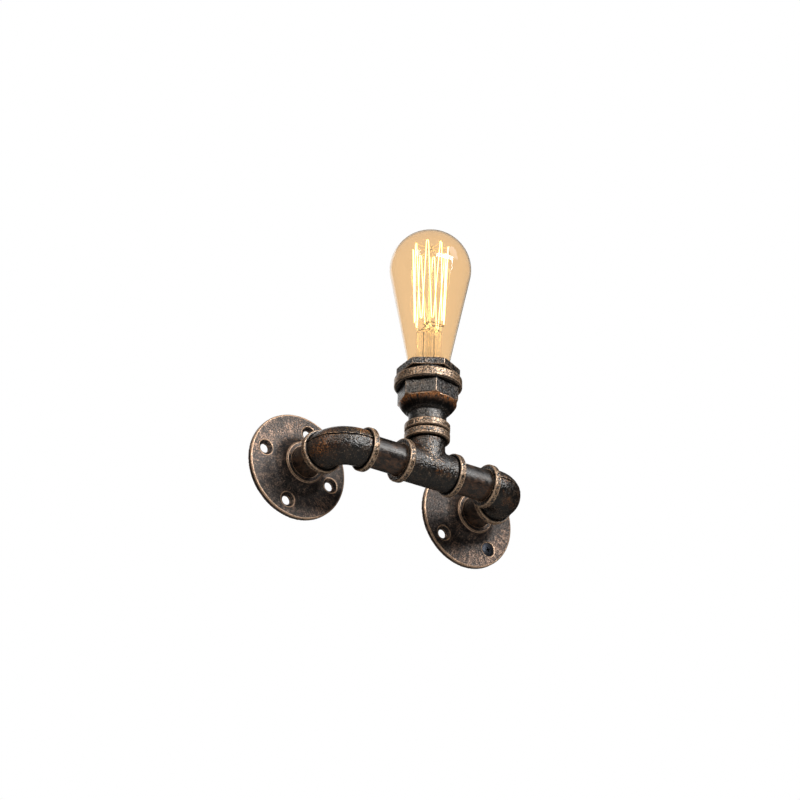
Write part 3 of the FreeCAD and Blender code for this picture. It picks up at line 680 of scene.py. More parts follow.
def beadMask(co, mesh, centre, axis, radius, low, high):
    # 1 on the rubbed outside of a bead, 0 on its end faces
    away, along = awayFrom(co, centre, axis), co[:, axis]
    soft = 0.2 * mm
    within = ease(along, low - soft, low + soft) * (1 - ease(along, high - soft, high + soft))
    facing = 1 - ease(np.abs(normals(mesh)[:, axis]), 0.55, 0.9)
    return ease(away, radius, radius + 0.5 * mm) * within * facing


def blob(co, centre, radius):
    return np.exp(-((np.linalg.norm(co - np.array(centre), axis=1) / radius) ** 2))


fittings = {
    "grid": 0.42 * mm,
    "softening": 1,
    "seeds": {"left": 3.0, "right": 8.0, "tee": 5.0, "bell": 2.0},
    "beadFoot": 15.6 * mm,  # beyond this from its axis a point is on a bead
    "beadWidth": 5.0 * mm,
    "branchBeadWidth": 6.5 * mm,
}
elbow = {
    "bend": 17 * mm,
    "seamWidth": 0.60 * mm,
    "seamHeight": 0.65 * mm,
    "seamAbove": 3.8 * mm,
    "seamWaves": ((3.0 * mm, 5, 0.26), (1.1 * mm, 7, 0.14)),  # length, seed and height in mm
    "seamBreaks": (2.2 * mm, 9, 0.4),  # length, seed and depth
    "seamStart": (6 * mm, 9 * mm),  # out from the pipes' axes
    "seamEnd": (15.1 * mm, 15.5 * mm),
    "lipAway": 1.0 * mm,  # from the seam's middle
    "lipWidth": 0.40 * mm,
    "lipHeight": 0.35,  # beside the seam's depth
    # rust: its place from where the pipes' axes cross, its spread, and its strength on each side
    "rust": (
        ((14.5 * mm, -9 * mm, 11 * mm), 4.5 * mm, {"left": 1.8, "right": 0.0}),
        ((-12 * mm, 7 * mm, -4.5 * mm), 7 * mm, {"left": 0.9, "right": 0.4}),
        ((-9 * mm, 2 * mm, 4 * mm), 11 * mm, {"left": 0.35, "right": 0.25}),
    ),
}


def makeElbow(side):
    node = side + "_elbow"
    mesh = castMesh(node, fittings["grid"], fittings["softening"], seed=fittings["seeds"][side])
    co = points(mesh)
    low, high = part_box(node)
    runward, wall = inward[side], wallLines[side]
    foot, width, bend = fittings["beadFoot"], fittings["beadWidth"], elbow["bend"]
    wallBand = beadMask(co, mesh, wall, 1, foot, high.y - width, high.y)
    ends = (high.x - width, high.x) if runward > 0 else (low.x, low.x + width)
    runBand = beadMask(co, mesh, runLine, 0, foot, *ends)
    keepValues(mesh, "band", np.maximum(wallBand, runBand))
    keepValues(mesh, "brush", co)
    # the mould's parting line round the outside of the bend
    u, v = (co[:, 0] - wall.x) * runward, co[:, 1] - runLine.y
    inBend = (u < bend) & (v < bend)
    outward = np.where(inBend, np.hypot(u - bend, v - bend) - bend, np.where(u > v, -v, -u))
    along = np.where(inBend, np.arctan2(bend - v, bend - u) * bend, np.where(u > v, u + bend * 0.6, -v))
    waves = sum(wobble(along / length, seed) * height for length, seed, height in elbow["seamWaves"])
    line = elbow["seamAbove"] + waves * mm
    reach = ease(outward, *elbow["seamStart"]) * (1 - ease(outward, *elbow["seamEnd"]))
    length, seed, depth = elbow["seamBreaks"]
    broken = np.clip(0.85 + depth * wobble(along / length, seed), 0.45, 1)
    off = co[:, 2] - line
    groove = np.exp(-((off / elbow["seamWidth"]) ** 2)) * reach * broken
    lips = np.exp(-(((np.abs(off) - elbow["lipAway"]) / elbow["lipWidth"]) ** 2)) * reach
    lift = (lips * elbow["lipHeight"] - groove) * elbow["seamHeight"]
    setPoints(mesh, co + normals(mesh) * lift[:, None])
    keepValues(mesh, "seamAndPaintedShade", np.clip(groove * 4.0 - 0.6, 0, 1))
    # the lips beside the seam are rubbed; the upward-facing top is made lighter as painted light
    upper = ease(normals(mesh)[:, 2], -0.15, 0.35)
    keepValues(mesh, "rubAndPaintedLight", np.clip(lips * 0.75 + upper * 0.40, 0, 1))
    rust = 0
    for (x, y, z), radius, amounts in elbow["rust"]:
        rust += blob(co, (wall.x + runward * x, runLine.y + y, z), radius) * amounts[side]
    keepValues(mesh, "rust", np.clip(rust, 0, 1))
    addPiece(side + "Elbow", mesh, castBody, "fixture", "bronzed_casting", node)


def makeTee():
    mesh = castMesh("tee", fittings["grid"], fittings["softening"], seed=fittings["seeds"]["tee"])
    co = points(mesh)
    low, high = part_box("tee")
    foot, width = fittings["beadFoot"], fittings["beadWidth"]
    left = beadMask(co, mesh, runLine, 0, foot, low.x, low.x + width)
    right = beadMask(co, mesh, runLine, 0, foot, high.x - width, high.x)
    upper = beadMask(co, mesh, lampAxis, 2, foot, high.z - fittings["branchBeadWidth"], high.z)
    keepValues(mesh, "band", np.maximum(np.maximum(left, right), upper))
    keepValues(mesh, "brush", co)
    # painted light: lighter paste on the upper front where the light falls
    keepValues(mesh, "rubAndPaintedLight", blob(co, (lampAxis.x - 4 * mm, runLine.y - 13 * mm, 6 * mm), 14 * mm) * 0.62)
    addPiece("teeFitting", mesh, castBody, "fixture", "bronzed_casting", "tee")


bell = {
    "lowerFoot": 15.9 * mm,  # beyond this from the axis a point is on the lower bead
    "mouthFoot": 24.4 * mm,
    "mouthWidth": 8.2 * mm,
    "brush": 24 * mm,
    "ledge": 20.7 * mm,  # from the top down to the bowl's upper edge
    # heights from that edge between which each look grows, and distances from the axis
    "rim": (0.3 * mm, 0.8 * mm),
    "rust": ((-7 * mm, -0.8 * mm), (17 * mm, 19 * mm)),
    "pasteAndPaintedLight": ((-1.6 * mm, -0.4 * mm), (20.5 * mm, 21.5 * mm)),
    "flats": ((0.6 * mm, 1.6 * mm), (18 * mm, 20 * mm)),
    # under: the bowl's underside, darkened as painted shade
    "under": ((-1.5 * mm, -5.5 * mm), (15.6 * mm, 17.5 * mm)),
    "socket": (10 * mm, 12.5 * mm),  # from the foot
    "flatsRub": 0.30,
    # how dark the painted shade under the bowl is
    "dark": 0.85,
}


def makeBell():
    mesh = castMesh("bell_reducer", fittings["grid"], fittings["softening"], seed=fittings["seeds"]["bell"])
    co = points(mesh)
    low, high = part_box("bell_reducer")
    lower = beadMask(co, mesh, lampAxis, 2, bell["lowerFoot"], low.z, low.z + fittings["branchBeadWidth"])
    mouth = beadMask(co, mesh, lampAxis, 2, bell["mouthFoot"], high.z - bell["mouthWidth"], high.z)
    keepValues(mesh, "band", np.maximum(lower, mouth))
    brushRound(mesh, co, lampAxis, 2, bell["brush"], 0.25, 0.25)
    # orange rust on the bowl's upper edge, partly a painted highlight where its flare catches the light; the
    # bowl's underside gets a painted shade, nearly black
    away, up = awayFrom(co, lampAxis, 2), co[:, 2] - (high.z - bell["ledge"])
    rust, pasteAndPaintedLight, flats, under = [
        ease(up, *bell[key][0]) * ease(away, *bell[key][1]) for key in ("rust", "pasteAndPaintedLight", "flats", "under")
    ]
    rim = 1 - ease(up, *bell["rim"])
    # orange ledge, partly rust and partly a painted highlight
    keepValues(mesh, "rust", rust * rim)
    keepValues(mesh, "rubAndPaintedLight", np.maximum(pasteAndPaintedLight * rim, flats * bell["flatsRub"]))
    # painted shade: the bowl's underside made nearly black
    keepValues(mesh, "seamAndPaintedShade", under * ease(co[:, 2] - low.z, *bell["socket"]) * bell["dark"])
    addPiece("bellReducer", mesh, castBell, "fixture", "bronzed_casting", "bell_reducer")


bushing = {"grid": 0.36 * mm, "softening": 1, "seed": 6.0, "swellDepth": 0.15 * mm}


def makeBushing():
    mesh = castMesh("hex_bushing", **bushing)
    brushRound(mesh, points(mesh), lampAxis, 2, bell["brush"], 0.5, 0.5)
    addPiece("hexBushing", mesh, castHex, "fixture", "bronzed_casting", "hex_bushing")


flange = {"grid": 0.44 * mm, "softening": 1, "swellDepth": 0.22 * mm, "wearDepth": 0.09 * mm}
flangeSeeds = {"left": 1.0, "right": 4.0}
flangeFace = (20 * mm, 30 * mm)  # from the axis, over which the rubbing and painted sheen set in
# where each face is lightest, partly rubbed paste and partly painted sheen where the light falls: angles from
# +X towards +Z with their strengths
flangeRubAndPaintedSheen = {"left": ((140, 0.68), (-75, 0.66)), "right": ((-65, 0.95), (165, 0.20))}


def makeFlange(side):
    node = side + "_flange"
    mesh = castMesh(node, seed=flangeSeeds[side], **flange)
    co = points(mesh)
    centre = wallLines[side]
    brushRound(mesh, co, centre, 1, 42 * mm, 0.10, 0.0)
    angle = np.arctan2(co[:, 2] - centre.z, co[:, 0] - centre.x)
    away = awayFrom(co, centre, 1)
    facing = ease(-normals(mesh)[:, 1], 0.6, 0.95) * ease(away, *flangeFace)
    lobes = [ease(np.cos(angle - math.radians(turn)), -0.2, 1.0) * amount for turn, amount in flangeRubAndPaintedSheen[side]]
    keepValues(mesh, "rubAndPaintedLight", np.maximum(*lobes) * facing)
    addPiece(side + "Flange", mesh, castFlange, "fixture", "bronzed_casting", node)


for side in inward:
    makeFlange(side)
    makeElbow(side)
makeTee()
makeBell()
makeBushing()
print("castings ready")


def softened(outline, radius, steps=3):
    # rounds each corner of a closed outline of (radius, height) points
    out = []
    for k, corner in enumerate(outline):
        here = Vector(corner)
        back = Vector(outline[k - 1]) - here
        ahead = Vector(outline[(k + 1) % len(outline)]) - here
        size = min(radius, back.length * 0.45, ahead.length * 0.45)
        straight = back.length < 1e-9 or ahead.length < 1e-9 or back.angle(ahead, 3.14) > 2.9
        if straight or corner[0] < 1e-7:
            out.append(tuple(here))
            continue
        start, end = here + back.normalized() * size, here + ahead.normalized() * size
        for step in range(steps + 1):
            t = step / steps
            out.append(tuple(start * (1 - t) ** 2 + here * (2 * t * (1 - t)) + end * t**2))
    return out


def dense(outline, step):
    # adds points along the straight parts of a closed outline
    out = []
    for k, point in enumerate(outline):
        here, after = Vector(point), Vector(outline[(k + 1) % len(outline)])
        count = max(1, math.ceil((after - here).length / step))
        out += [tuple(here.lerp(after, i / count)) for i in range(count)]
    return out


def lathed(name, outline, segments):
    # turns a closed outline round the Z axis, faces outward
    area = sum(a[0] * b[1] - b[0] * a[1] for a, b in zip(outline, outline[1:] + outline[:1]))
    outline = outline if area > 0 else outline[::-1]
    verts, rings = [], []
    for radius, height in outline:
        if radius < 1e-7:
            rings.append([len(verts)] * segments)
            verts.append((0, 0, height))
            continue
        rings.append(list(range(len(verts), len(verts) + segments)))
        for k in range(segments):
            angle = 2 * math.pi * k / segments
            verts.append((radius * math.cos(angle), radius * math.sin(angle), height))
    faces = []
    for low, high in zip(rings, rings[1:] + rings[:1]):
        for k in range(segments):
            j = (k + 1) % segments
            face = list(dict.fromkeys((low[k], low[j], high[j], high[k])))
            if len(face) > 2:
                faces.append(face)
    mesh = bpy.data.meshes.new(name)
    mesh.from_pydata(verts, [], faces)
    mesh.shade_smooth()
    return mesh


def turned(name, outline, look):
    return lathed(name, dense(softened(outline, look["edge"]), look["step"]), look["segments"])


def placed(mesh, origin, direction=zAxis):
    aim = direction.to_track_quat("Z", "Y").to_matrix().to_4x4()
    mesh.transform(Matrix.Translation(origin) @ aim)
    return mesh


def buildThreadForm():
    # a groove wound round the Z axis on every point beyond a given radius
    tree, given = startTree("threadForm", {
        "Pitch": 3.629 * mm,
        "Depth": 0.9 * mm,
        "Beyond": 0.0,
        "From": 0.0,
        "To": 10 * mm,
        "Fade": 1.5 * mm,
        "Phase": 0.0,
        "Sharpness": 1.0,
    })
    x, y, z = xyz(put(tree, "GeometryNodeInputPosition").outputs[0])
    turns = times(ratio(z, given["Pitch"]), 2 * math.pi)
    wave = calc("COSINE", plus(minus(turns, calc("ARCTAN2", y, x)), given["Phase"]))
    crest = calc("POWER", calc("MULTIPLY_ADD", wave, 0.5, third=0.5), given["Sharpness"])
    groove = times(minus(crest, 1.0), given["Depth"])
    radius = calc("SQRT", plus(times(x, x), times(y, y)))
    low = spread(z, given["From"], plus(given["From"], given["Fade"]))
    high = spread(z, minus(given["To"], given["Fade"]), given["To"], 1.0, 0.0)
    gate = times(times(low, high), calc("GREATER_THAN", radius, given["Beyond"]))
    share = ratio(times(groove, gate), most(radius, 0.1 * mm))
    flat = put(tree, "ShaderNodeCombineXYZ", {0: x, 1: y}).outputs[0]
    return endTree(tree, given, moved(given["Geometry"], Offset=scaled(flat, share)))


threadForm = buildThreadForm()


def threaded(mesh, *windings):
    holder = newObject(mesh.name + "Holder", mesh)
    for values in windings:
        growOn(holder, threadForm, values)
    out = settled(holder, mesh.name)
    out.shade_smooth()
    return out


pipeThread = {"Pitch": 1.814 * mm, "Depth": 0.95 * mm, "Fade": 1.2 * mm}
pipe = {
    "radius": 12.25 * mm,
    "bore": 9.75 * mm,
    "inSocket": 9.0 * mm,
    "inFlange": 11.5 * mm,
    "runOut": 2 * mm,
    "edge": 0.5 * mm,
    "step": 0.3 * mm,
    "segments": 128,
}


def makeNipple(node, name, axis, finish, first, last):
    low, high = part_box(node)
    bore, radius, length = pipe["bore"], pipe["radius"], high[axis] - low[axis]
    outline = [(bore, 0), (radius, 0), (radius, length), (bore, length)]
    mesh = turned(name, outline, pipe)
    winding = dict(pipeThread, Beyond=(radius + bore) / 2)
    mesh = threaded(
        mesh,
        dict(winding, From=-pipe["runOut"], To=first),
        dict(winding, From=length - last, To=length + pipe["runOut"]),
    )
    origin = middleOf(node)
    origin[axis] = low[axis]
    placed(mesh, origin, (xAxis, yAxis, zAxis)[axis])
    addPiece(name, sharpen(mesh), finish, "fixture", "blackened_pipe", node)


socket = pipe["inSocket"]
for side in inward:
    makeNipple(side + "_run_nipple", side + "RunNipple", 0, runPipe, socket, socket)
    makeNipple(side + "_wall_nipple", side + "WallNipple", 1, wallPipe, socket, pipe["inFlange"])
makeNipple("riser_nipple", "riserNipple", 2, risePipe, socket, socket)


wallScrew = {
    "angle": -49.5,  # of its hole, from +X towards +Z
    "circle": 30.2 * mm,
    "head": 5.4 * mm,
    "face": 3.55 * mm,  # from the wall
    "dome": 0.45 * mm,
    "shank": 1.9 * mm,
    "rim": 0.15 * mm,
    "recess": (6.0 * mm, 1.4 * mm, 4.0 * mm),  # length and width of a wing, and the driver's height
    "recessAbove": 0.2 * mm,  # the driver's middle over the head's face
    "taper": 0.35,
    "turn": 24,
    "edge": 0.1 * mm,
    "step": 0.4 * mm,
    "segments": 96,
}


def zTurn(degrees, height):
    return Matrix.Rotation(math.radians(degrees), 4, "Z") @ Matrix.Translation((0, 0, height))


def recessed(name, mesh, shape):
    # a driver's recess cut into a screw's head
    cutterMesh = bpy.data.meshes.new("recessShape")
    shape.to_mesh(cutterMesh)
    shape.free()
    body, cutter = newObject(name + "Body", mesh), newObject("recessShape", cutterMesh)
    modified(body, "recess", "BOOLEAN", operation="DIFFERENCE", solver="EXACT", use_self=True, object=cutter)
    out = settled(body, name)
    bpy.data.objects.remove(cutter)
    return out


def makeWallScrew():
    look = wallScrew
    head, face, shank = look["head"], look["face"], look["shank"]
    outline = [(0, 0), (shank, 0), (shank, face - (head - shank)), (head, face - look["rim"])]
    outline += [(head, face), (head * 0.6, face + look["dome"] * 0.7), (0, face + look["dome"])]
    body = turned("screwBody", outline, look)
    wings = Matrix.Diagonal((*look["recess"], 1))
    cross = bmesh.new()
    for turn in (0, 90):
        place = zTurn(turn + look["turn"], face + look["recessAbove"]) @ wings
        for vert in bmesh.ops.create_cube(cross, size=1.0, matrix=place)["verts"]:
            if vert.co.z < face:
                vert.co.xy *= look["taper"]
    mesh = recessed("wallScrew", body, cross)
    angle = math.radians(look["angle"])
    spot = wallLines["right"] + Vector((math.cos(angle), 0, math.sin(angle))) * look["circle"]
    placed(mesh, Vector((spot.x, 0, spot.z)), -yAxis)
    addPiece("wallScrew", sharpen(mesh), blackScrew, "fixture", "plated_steel")


makeWallScrew()
print("nipples ready")

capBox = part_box("bulb_screw_cap")
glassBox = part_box("bulb_glass")
bulbLook = {
    "radius": 31.99 * mm,
    "flank": 11.4,
    "wall": 0.9 * mm,
    "shoulder": 16.2 * mm,
    "neck": 12.4 * mm,
    "shoulderRise": 1.9 * mm,
    "neckRise": 0.4 * mm,
    "inCap": 3.5 * mm,
    "segments": 192,
    "shoulderSteps": 8,
    "flankSteps": 60,
    "bendSteps": 24,
    "crownSteps": 48,
}


def arc(centre, radius, start, end, steps):
    out = []
    for k in range(steps + 1):
        angle = math.radians(start + (end - start) * k / steps)
        out.append((centre[0] + radius * math.cos(angle), centre[1] + radius * math.sin(angle)))
    return out


def bulbSide(inset):
    # from the foot of the neck up the flank and round to the crown
    look, capTop, top = bulbLook, capBox[1].z, glassBox[1].z
    flank = math.radians(look["flank"])
    slope, radius = math.tan(flank), look["radius"] - inset
    belly = top - look["radius"]
    shoulder = look["shoulder"] + slope * inset - inset / math.cos(flank)
    neck = look["neck"] - inset
    foot = capTop + look["shoulderRise"] + inset
    reach = (shoulder + slope * (belly - foot) - radius) / (slope * math.sin(flank) - 1 + math.cos(flank))
    neckTop = capTop + look["neckRise"] + inset
    side = [(neck, capTop - look["inCap"]), (neck, neckTop)]
    steps = look["shoulderSteps"]
    for k in range(1, steps + 1):
        angle = math.radians(90 * k / steps)
        across, rise = (shoulder - neck) * math.cos(angle), (foot - neckTop) * math.sin(angle)
        side.append((shoulder - across, neckTop + rise))
    # the long straight flank gets rings of its own
    bend = arc((radius - reach, belly), reach, -look["flank"], 0, look["bendSteps"])
    start, end, rings = Vector(side[-1]), Vector(bend[0]), look["flankSteps"]
    side += [tuple(start.lerp(end, k / rings)) for k in range(1, rings)]
    side += bend + arc((0, belly), radius, 0, 90, look["crownSteps"])[1:-1]
    return side + [(0, belly + radius)]


def onAxis(mesh):
    mesh.transform(Matrix.Translation((lampAxis.x, lampAxis.y, 0)))
    return mesh


def makeGlass():
    outline = bulbSide(0) + bulbSide(bulbLook["wall"])[::-1]
    mesh = onAxis(lathed("amberBulb", outline, bulbLook["segments"]))
    addPiece("amberBulb", mesh, amberGlass, "bulb", "amber_glass", "bulb_glass")


cap = {
    "radius": 13.1 * mm,
    "wall": 0.4 * mm,
    "lip": 13.7 * mm,
    "foot": 10.0 * mm,
    "shoulder": 5.5 * mm,
    "footRise": 3.9 * mm,
    "lipHeight": 1.0 * mm,
    "threadFrom": 3.2 * mm,
    "threadTo": 20.0 * mm,
    "fade": 3 * mm,
    "edge": 0.18 * mm,
    "step": 0.22 * mm,
    "segments": 144,
}


def makeCap():
    tip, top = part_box("bulb_tip")[0].z, capBox[1].z
    outer = [
        (cap["foot"], tip + cap["footRise"]),
        (cap["radius"], tip + cap["shoulder"]),
        (cap["radius"], top - 2 * cap["lipHeight"]),
        (cap["lip"], top - cap["lipHeight"]),
        (cap["lip"], top),
    ]
    inner = [(radius - cap["wall"], height) for radius, height in outer]
    winding = {"From": tip + cap["threadFrom"], "To": tip + cap["threadTo"], "Fade": cap["fade"]}
    mesh = onAxis(threaded(turned("screwCap", outer + inner[::-1], cap), winding))
    addPiece("screwCap", mesh, agedBrass, "bulb", "brass", "bulb_screw_cap")


def joined(name, *meshes):
    whole = bmesh.new()
    for mesh in meshes:
        whole.from_mesh(mesh)
    out = bpy.data.meshes.new(name)
    whole.to_mesh(out)
    whole.free()
    return out


screwShell = {
    "bore": 13.6 * mm,
    "wall": 0.5 * mm,
    "plain": 0.8 * mm,
    "fade": 2.5 * mm,
    "tab": 0.55 * mm,
    "edge": 0.15 * mm,
    "step": 0.25 * mm,
    "segments": 144,
}


def makeShell():
    low, high = [corner.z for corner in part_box("lampholder_screw_shell")]
    bore, outside, plain = screwShell["bore"], screwShell["bore"] + screwShell["wall"], screwShell["plain"]
    outline = [(bore, low), (outside, low), (outside, high), (bore, high)]
    winding = {"From": low + plain, "To": high - plain, "Fade": screwShell["fade"]}
    tube = onAxis(threaded(turned("screwShell", outline, screwShell), winding))
    # the CAD node's own tab below the tube
    tab = softCopy("lampholder_screw_shell", 0)
    work = bmesh.new()
    work.from_mesh(tab)
    loose = [vert for vert in work.verts if vert.co.z > low + screwShell["tab"]]
    bmesh.ops.delete(work, geom=loose, context="VERTS")
    work.to_mesh(tab)
    work.free()
    shell = sharpen(joined("screwShell", tube, tab))
    addPiece("screwShell", shell, brass, "fixture", "brass", "lampholder_screw_shell")


makeGlass()
makeCap()
makeShell()
stemCast = {"grid": 0.32 * mm, "softening": 5, "swellDepth": 0.0, "sandDepth": 0.0}
addPiece("glassStem", castMesh("bulb_stem", **stemCast), stemGlass, "bulb", "clear_glass", "bulb_stem")
print("bulb ready")


def wireAlong(line, wire, bend, bendPoints):
    # a line of points made a wire with round bends
    tree = treeOf(line)
    curve = put(tree, "GeometryNodeMeshToCurve", {0: line}).outputs[0]
    bends = {0: curve, "Radius": bend, "Count": bendPoints}
    rounded = put(tree, "GeometryNodeFilletCurve", bends, mode="POLY").outputs[0]
    ring = put(tree, "GeometryNodeCurvePrimitiveCircle", {"Resolution": 8, "Radius": wire}).outputs[0]
    tube = put(tree, "GeometryNodeCurveToMesh", {0: rounded, 1: ring, "Fill Caps": True}).outputs[0]
    return put(tree, "GeometryNodeSetShadeSmooth", {0: tube}).outputs[0]


def buildCage():
    # the filament's points up and down between two rings of hooks
    tree, given = startTree("filamentCage", {
        "Legs": 16,
        "Upper radius": 14 * mm,
        "Lower radius": 11.6 * mm,
        "Upper height": 189.5 * mm,
        "Lower height": 122.5 * mm,
        "End height": 123 * mm,
        "Half turn": 0.7 * mm,
        "End angle": 5.0,
        "Round": 0.6 * mm,
        "Wire": 0.25 * mm,
        "Centre X": 79 * mm,
        "Centre Y": -60 * mm,
    })
    last = minus(times(given["Legs"], 2.0), 1.0)
    line = put(tree, "GeometryNodeMeshLine", {"Count": plus(last, 1.0)}).outputs[0]
    i = put(tree, "GeometryNodeInputIndex").outputs[0]
    j = calc("FLOOR", ratio(plus(i, 1.0), 2.0))
    upper = calc("MODULO", j, 2.0)
    ends = plus(calc("COMPARE", i, 0.0, third=0.1), calc("COMPARE", i, last, third=0.1))
    radius = spread(upper, 0.0, 1.0, given["Lower radius"], given["Upper radius"], False)
    height = spread(upper, 0.0, 1.0, given["Lower height"], given["Upper height"], False)
    height = spread(ends, 0.0, 1.0, height, given["End height"], False)
    middle = times(minus(j, 1.0), ratio(math.pi * 2, given["Legs"]))
    side = minus(1.0, times(calc("MODULO", i, 2.0), 2.0))
    half = ratio(given["Half turn"], radius)
    half = spread(ends, 0.0, 1.0, half, calc("RADIANS", given["End angle"]), False)
    angle = plus(middle, times(side, half))
    x = plus(given["Centre X"], times(radius, calc("COSINE", angle)))
    y = plus(given["Centre Y"], times(radius, calc("SINE", angle)))
    place = put(tree, "ShaderNodeCombineXYZ", {0: x, 1: y, 2: height}).outputs[0]
    return endTree(tree, given, wireAlong(moved(line, Position=place), given["Wire"], given["Round"], 1))


def buildHooks():
    # bent wires standing out from a glass button, one per step of the turn
    tree, given = startTree("hookRing", {
        "Count": 8,
        "First": 0.0,
        "Step": 45.0,
        "Inner": 2.5 * mm,
        "Reach": 14.9 * mm,
        "Tip": 1.2 * mm,
        "Height": 189 * mm,
        "Round": 0.5 * mm,
        "Wire": 0.25 * mm,
        "Centre X": 79 * mm,
        "Centre Y": -60 * mm,
    })
    line = put(tree, "GeometryNodeMeshLine", {"Count": 3}).outputs[0]
    i = put(tree, "GeometryNodeInputIndex").outputs[0]
    out = spread(i, 0.0, 1.0, given["Inner"], given["Reach"], False)
    up = spread(i, 1.0, 2.0, 0.0, given["Tip"], False)
    place = put(tree, "ShaderNodeCombineXYZ", {0: out, 2: up}).outputs[0]
    hook = wireAlong(moved(line, Position=place), given["Wire"], given["Round"], 4)
    hub = put(tree, "GeometryNodeMeshLine", {"Count": given["Count"], "Offset": (0, 0, 0)}).outputs[0]
    centre = {0: given["Centre X"], 1: given["Centre Y"], 2: given["Height"]}
    spot = moved(hub, Position=put(tree, "ShaderNodeCombineXYZ", centre).outputs[0])
    degrees = plus(given["First"], times(given["Step"], i))
    turn = put(tree, "ShaderNodeCombineXYZ", {2: calc("RADIANS", degrees)}).outputs[0]
    rays = put(tree, "GeometryNodeInstanceOnPoints", {"Points": spot, "Instance": hook, "Rotation": turn})
    return endTree(tree, given, rays.outputs[0])


def addGrown(name, tree, finish, slotName, node, **values):
    holder = newObject(name + "Holder", bpy.data.meshes.new(name))
    growOn(holder, tree, dict(values, Material=finish))
    addPiece(name, settled(holder, name), finish, "bulb", slotName, node)


addGrown("filamentCage", buildCage(), glowing, "filament", "filament")
hookRing = buildHooks()
hookSets = {
    "upper": {"Count": 8, "First": 0.0, "Reach": 14.9 * mm, "Tip": 1.2 * mm, "Height": 189 * mm},
    "lower": {"Count": 7, "First": 22.5, "Reach": 12.5 * mm, "Tip": -1.2 * mm, "Height": 123 * mm},
}
for ring, values in hookSets.items():
    addGrown(ring + "Hooks", hookRing, hookWire, "support_wire", ring + "_filament_hooks", **values)


def addSoft(node, name, finish, body, slotName, edge=0.12 * mm, turn=34):
    # a piece that keeps its CAD shape
    addPiece(name, softCopy(node, edge, turn), finish, body, slotName, node)


addSoft("lead_in_wires", "leadInWires", bareWire, "bulb", "support_wire", 0, 70)
print("filament ready")

addSoft("bulb_insulator", "capInsulator", vitrite, "bulb_foot", "black_glass", 0.3 * mm)
addSoft("bulb_tip", "solderTip", solder, "bulb_foot", "solder", 0.25 * mm)
holderCast = {"grid": 0.38 * mm, "softening": 3, "swellDepth": 0.12 * mm, "sandDepth": 0.0}
holderMesh = castMesh("lampholder_body", **holderCast)
addPiece("porcelainHolder", holderMesh, porcelain, "fixture", "porcelain", "lampholder_body")
addSoft("live_terminal", "liveTerminal", brass, "fixture", "brass")
addSoft("neutral_terminal", "neutralTerminal", brass, "fixture", "brass")
addSoft("contact_rivets", "contactRivets", brass, "fixture", "brass")
addSoft("earth_tag", "earthTag", zinc, "fixture", "plated_steel")

# cheese-head screws with a slot and a cut thread
terminalScrew = {
    "head": 2.1 * mm,
    "height": 1.8 * mm,
    "shank": 1.25 * mm,
    "length": 3.2 * mm,
    "pitch": 0.5 * mm,
}
earthScrew = {
    "head": 2.2 * mm,
    "height": 1.6 * mm,
    "shank": 1.45 * mm,
    "length": 4.6 * mm,
    "pitch": 0.6 * mm,
}
slotCut = {"width": 0.55 * mm, "depth": 0.85 * mm}
smallScrew = {"point": 0.3 * mm, "edge": 0.12 * mm, "step": 0.12 * mm, "segments": 48}


def slottedScrew(name, look, turn):
    head, height, shank, length = look["head"], look["height"], look["shank"], look["length"]
    outline = [(0, -length), (shank * 0.8, -length), (shank, -length + smallScrew["point"])]
    outline += [(shank, 0), (head, 0), (head, height * 0.8), (head * 0.85, height), (0, height)]
    mesh = threaded(turned(name, outline, smallScrew), {
        "Pitch": look["pitch"],
        "Depth": look["pitch"] * 0.5,
        "Beyond": shank * 0.9,
        "From": -length,
        "To": 0.0,
        "Fade": look["pitch"],
    })
    slot = bmesh.new()
    size = Matrix.Diagonal((3 * head, slotCut["width"], 2 * slotCut["depth"], 1))
    bmesh.ops.create_cube(slot, size=1.0, matrix=zTurn(turn, height) @ size)
    return recessed(name, mesh, slot)


def makeTerminalScrews():
    low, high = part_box("terminal_screws")
    pair = []
    for end, way, turn in ((high.x, 1, 35), (low.x, -1, -62)):
        seat = middleOf("terminal_screws")
        seat.x = end - way * terminalScrew["height"]
        pair.append(placed(slottedScrew("terminalScrew", terminalScrew, turn), seat, xAxis * way))
    mesh = sharpen(joined("terminalScrews", *pair))
    addPiece("terminalScrews", mesh, zinc, "fixture", "plated_steel", "terminal_screws")


def makeEarthScrew():
    seat = middleOf("earth_screw")
    seat.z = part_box("earth_screw")[1].z - earthScrew["height"]
    mesh = placed(slottedScrew("earthScrew", earthScrew, 20), seat)
    addPiece("earthScrew", sharpen(mesh), zinc, "fixture", "plated_steel", "earth_screw")


makeTerminalScrews()
makeEarthScrew()
addSoft("centre_contact", "centreContact", brass, "contact", "brass", 0.08 * mm, 20)
addSoft("live_lead", "liveLead", brownSleeve, "fixture", "brown_sleeve", 0, 50)
addSoft("neutral_lead", "neutralLead", blueSleeve, "fixture", "blue_sleeve", 0, 50)
addSoft("earth_lead", "earthLead", earthSleeve, "fixture", "green_yellow_sleeve", 0, 50)
addSoft("lead_ferrules", "leadFerrules", crimped, "fixture", "plated_steel", 0.1 * mm)
print("lampholder and wiring ready")

viewFrom = {
    "target": (53.5 * mm, -60 * mm, 49.7 * mm),
    "azimuth": -33.8,
    "elevation": -25.8,
    "roll": 1.4,
    "distance": 2.0,
    "lens": 118.75,
}


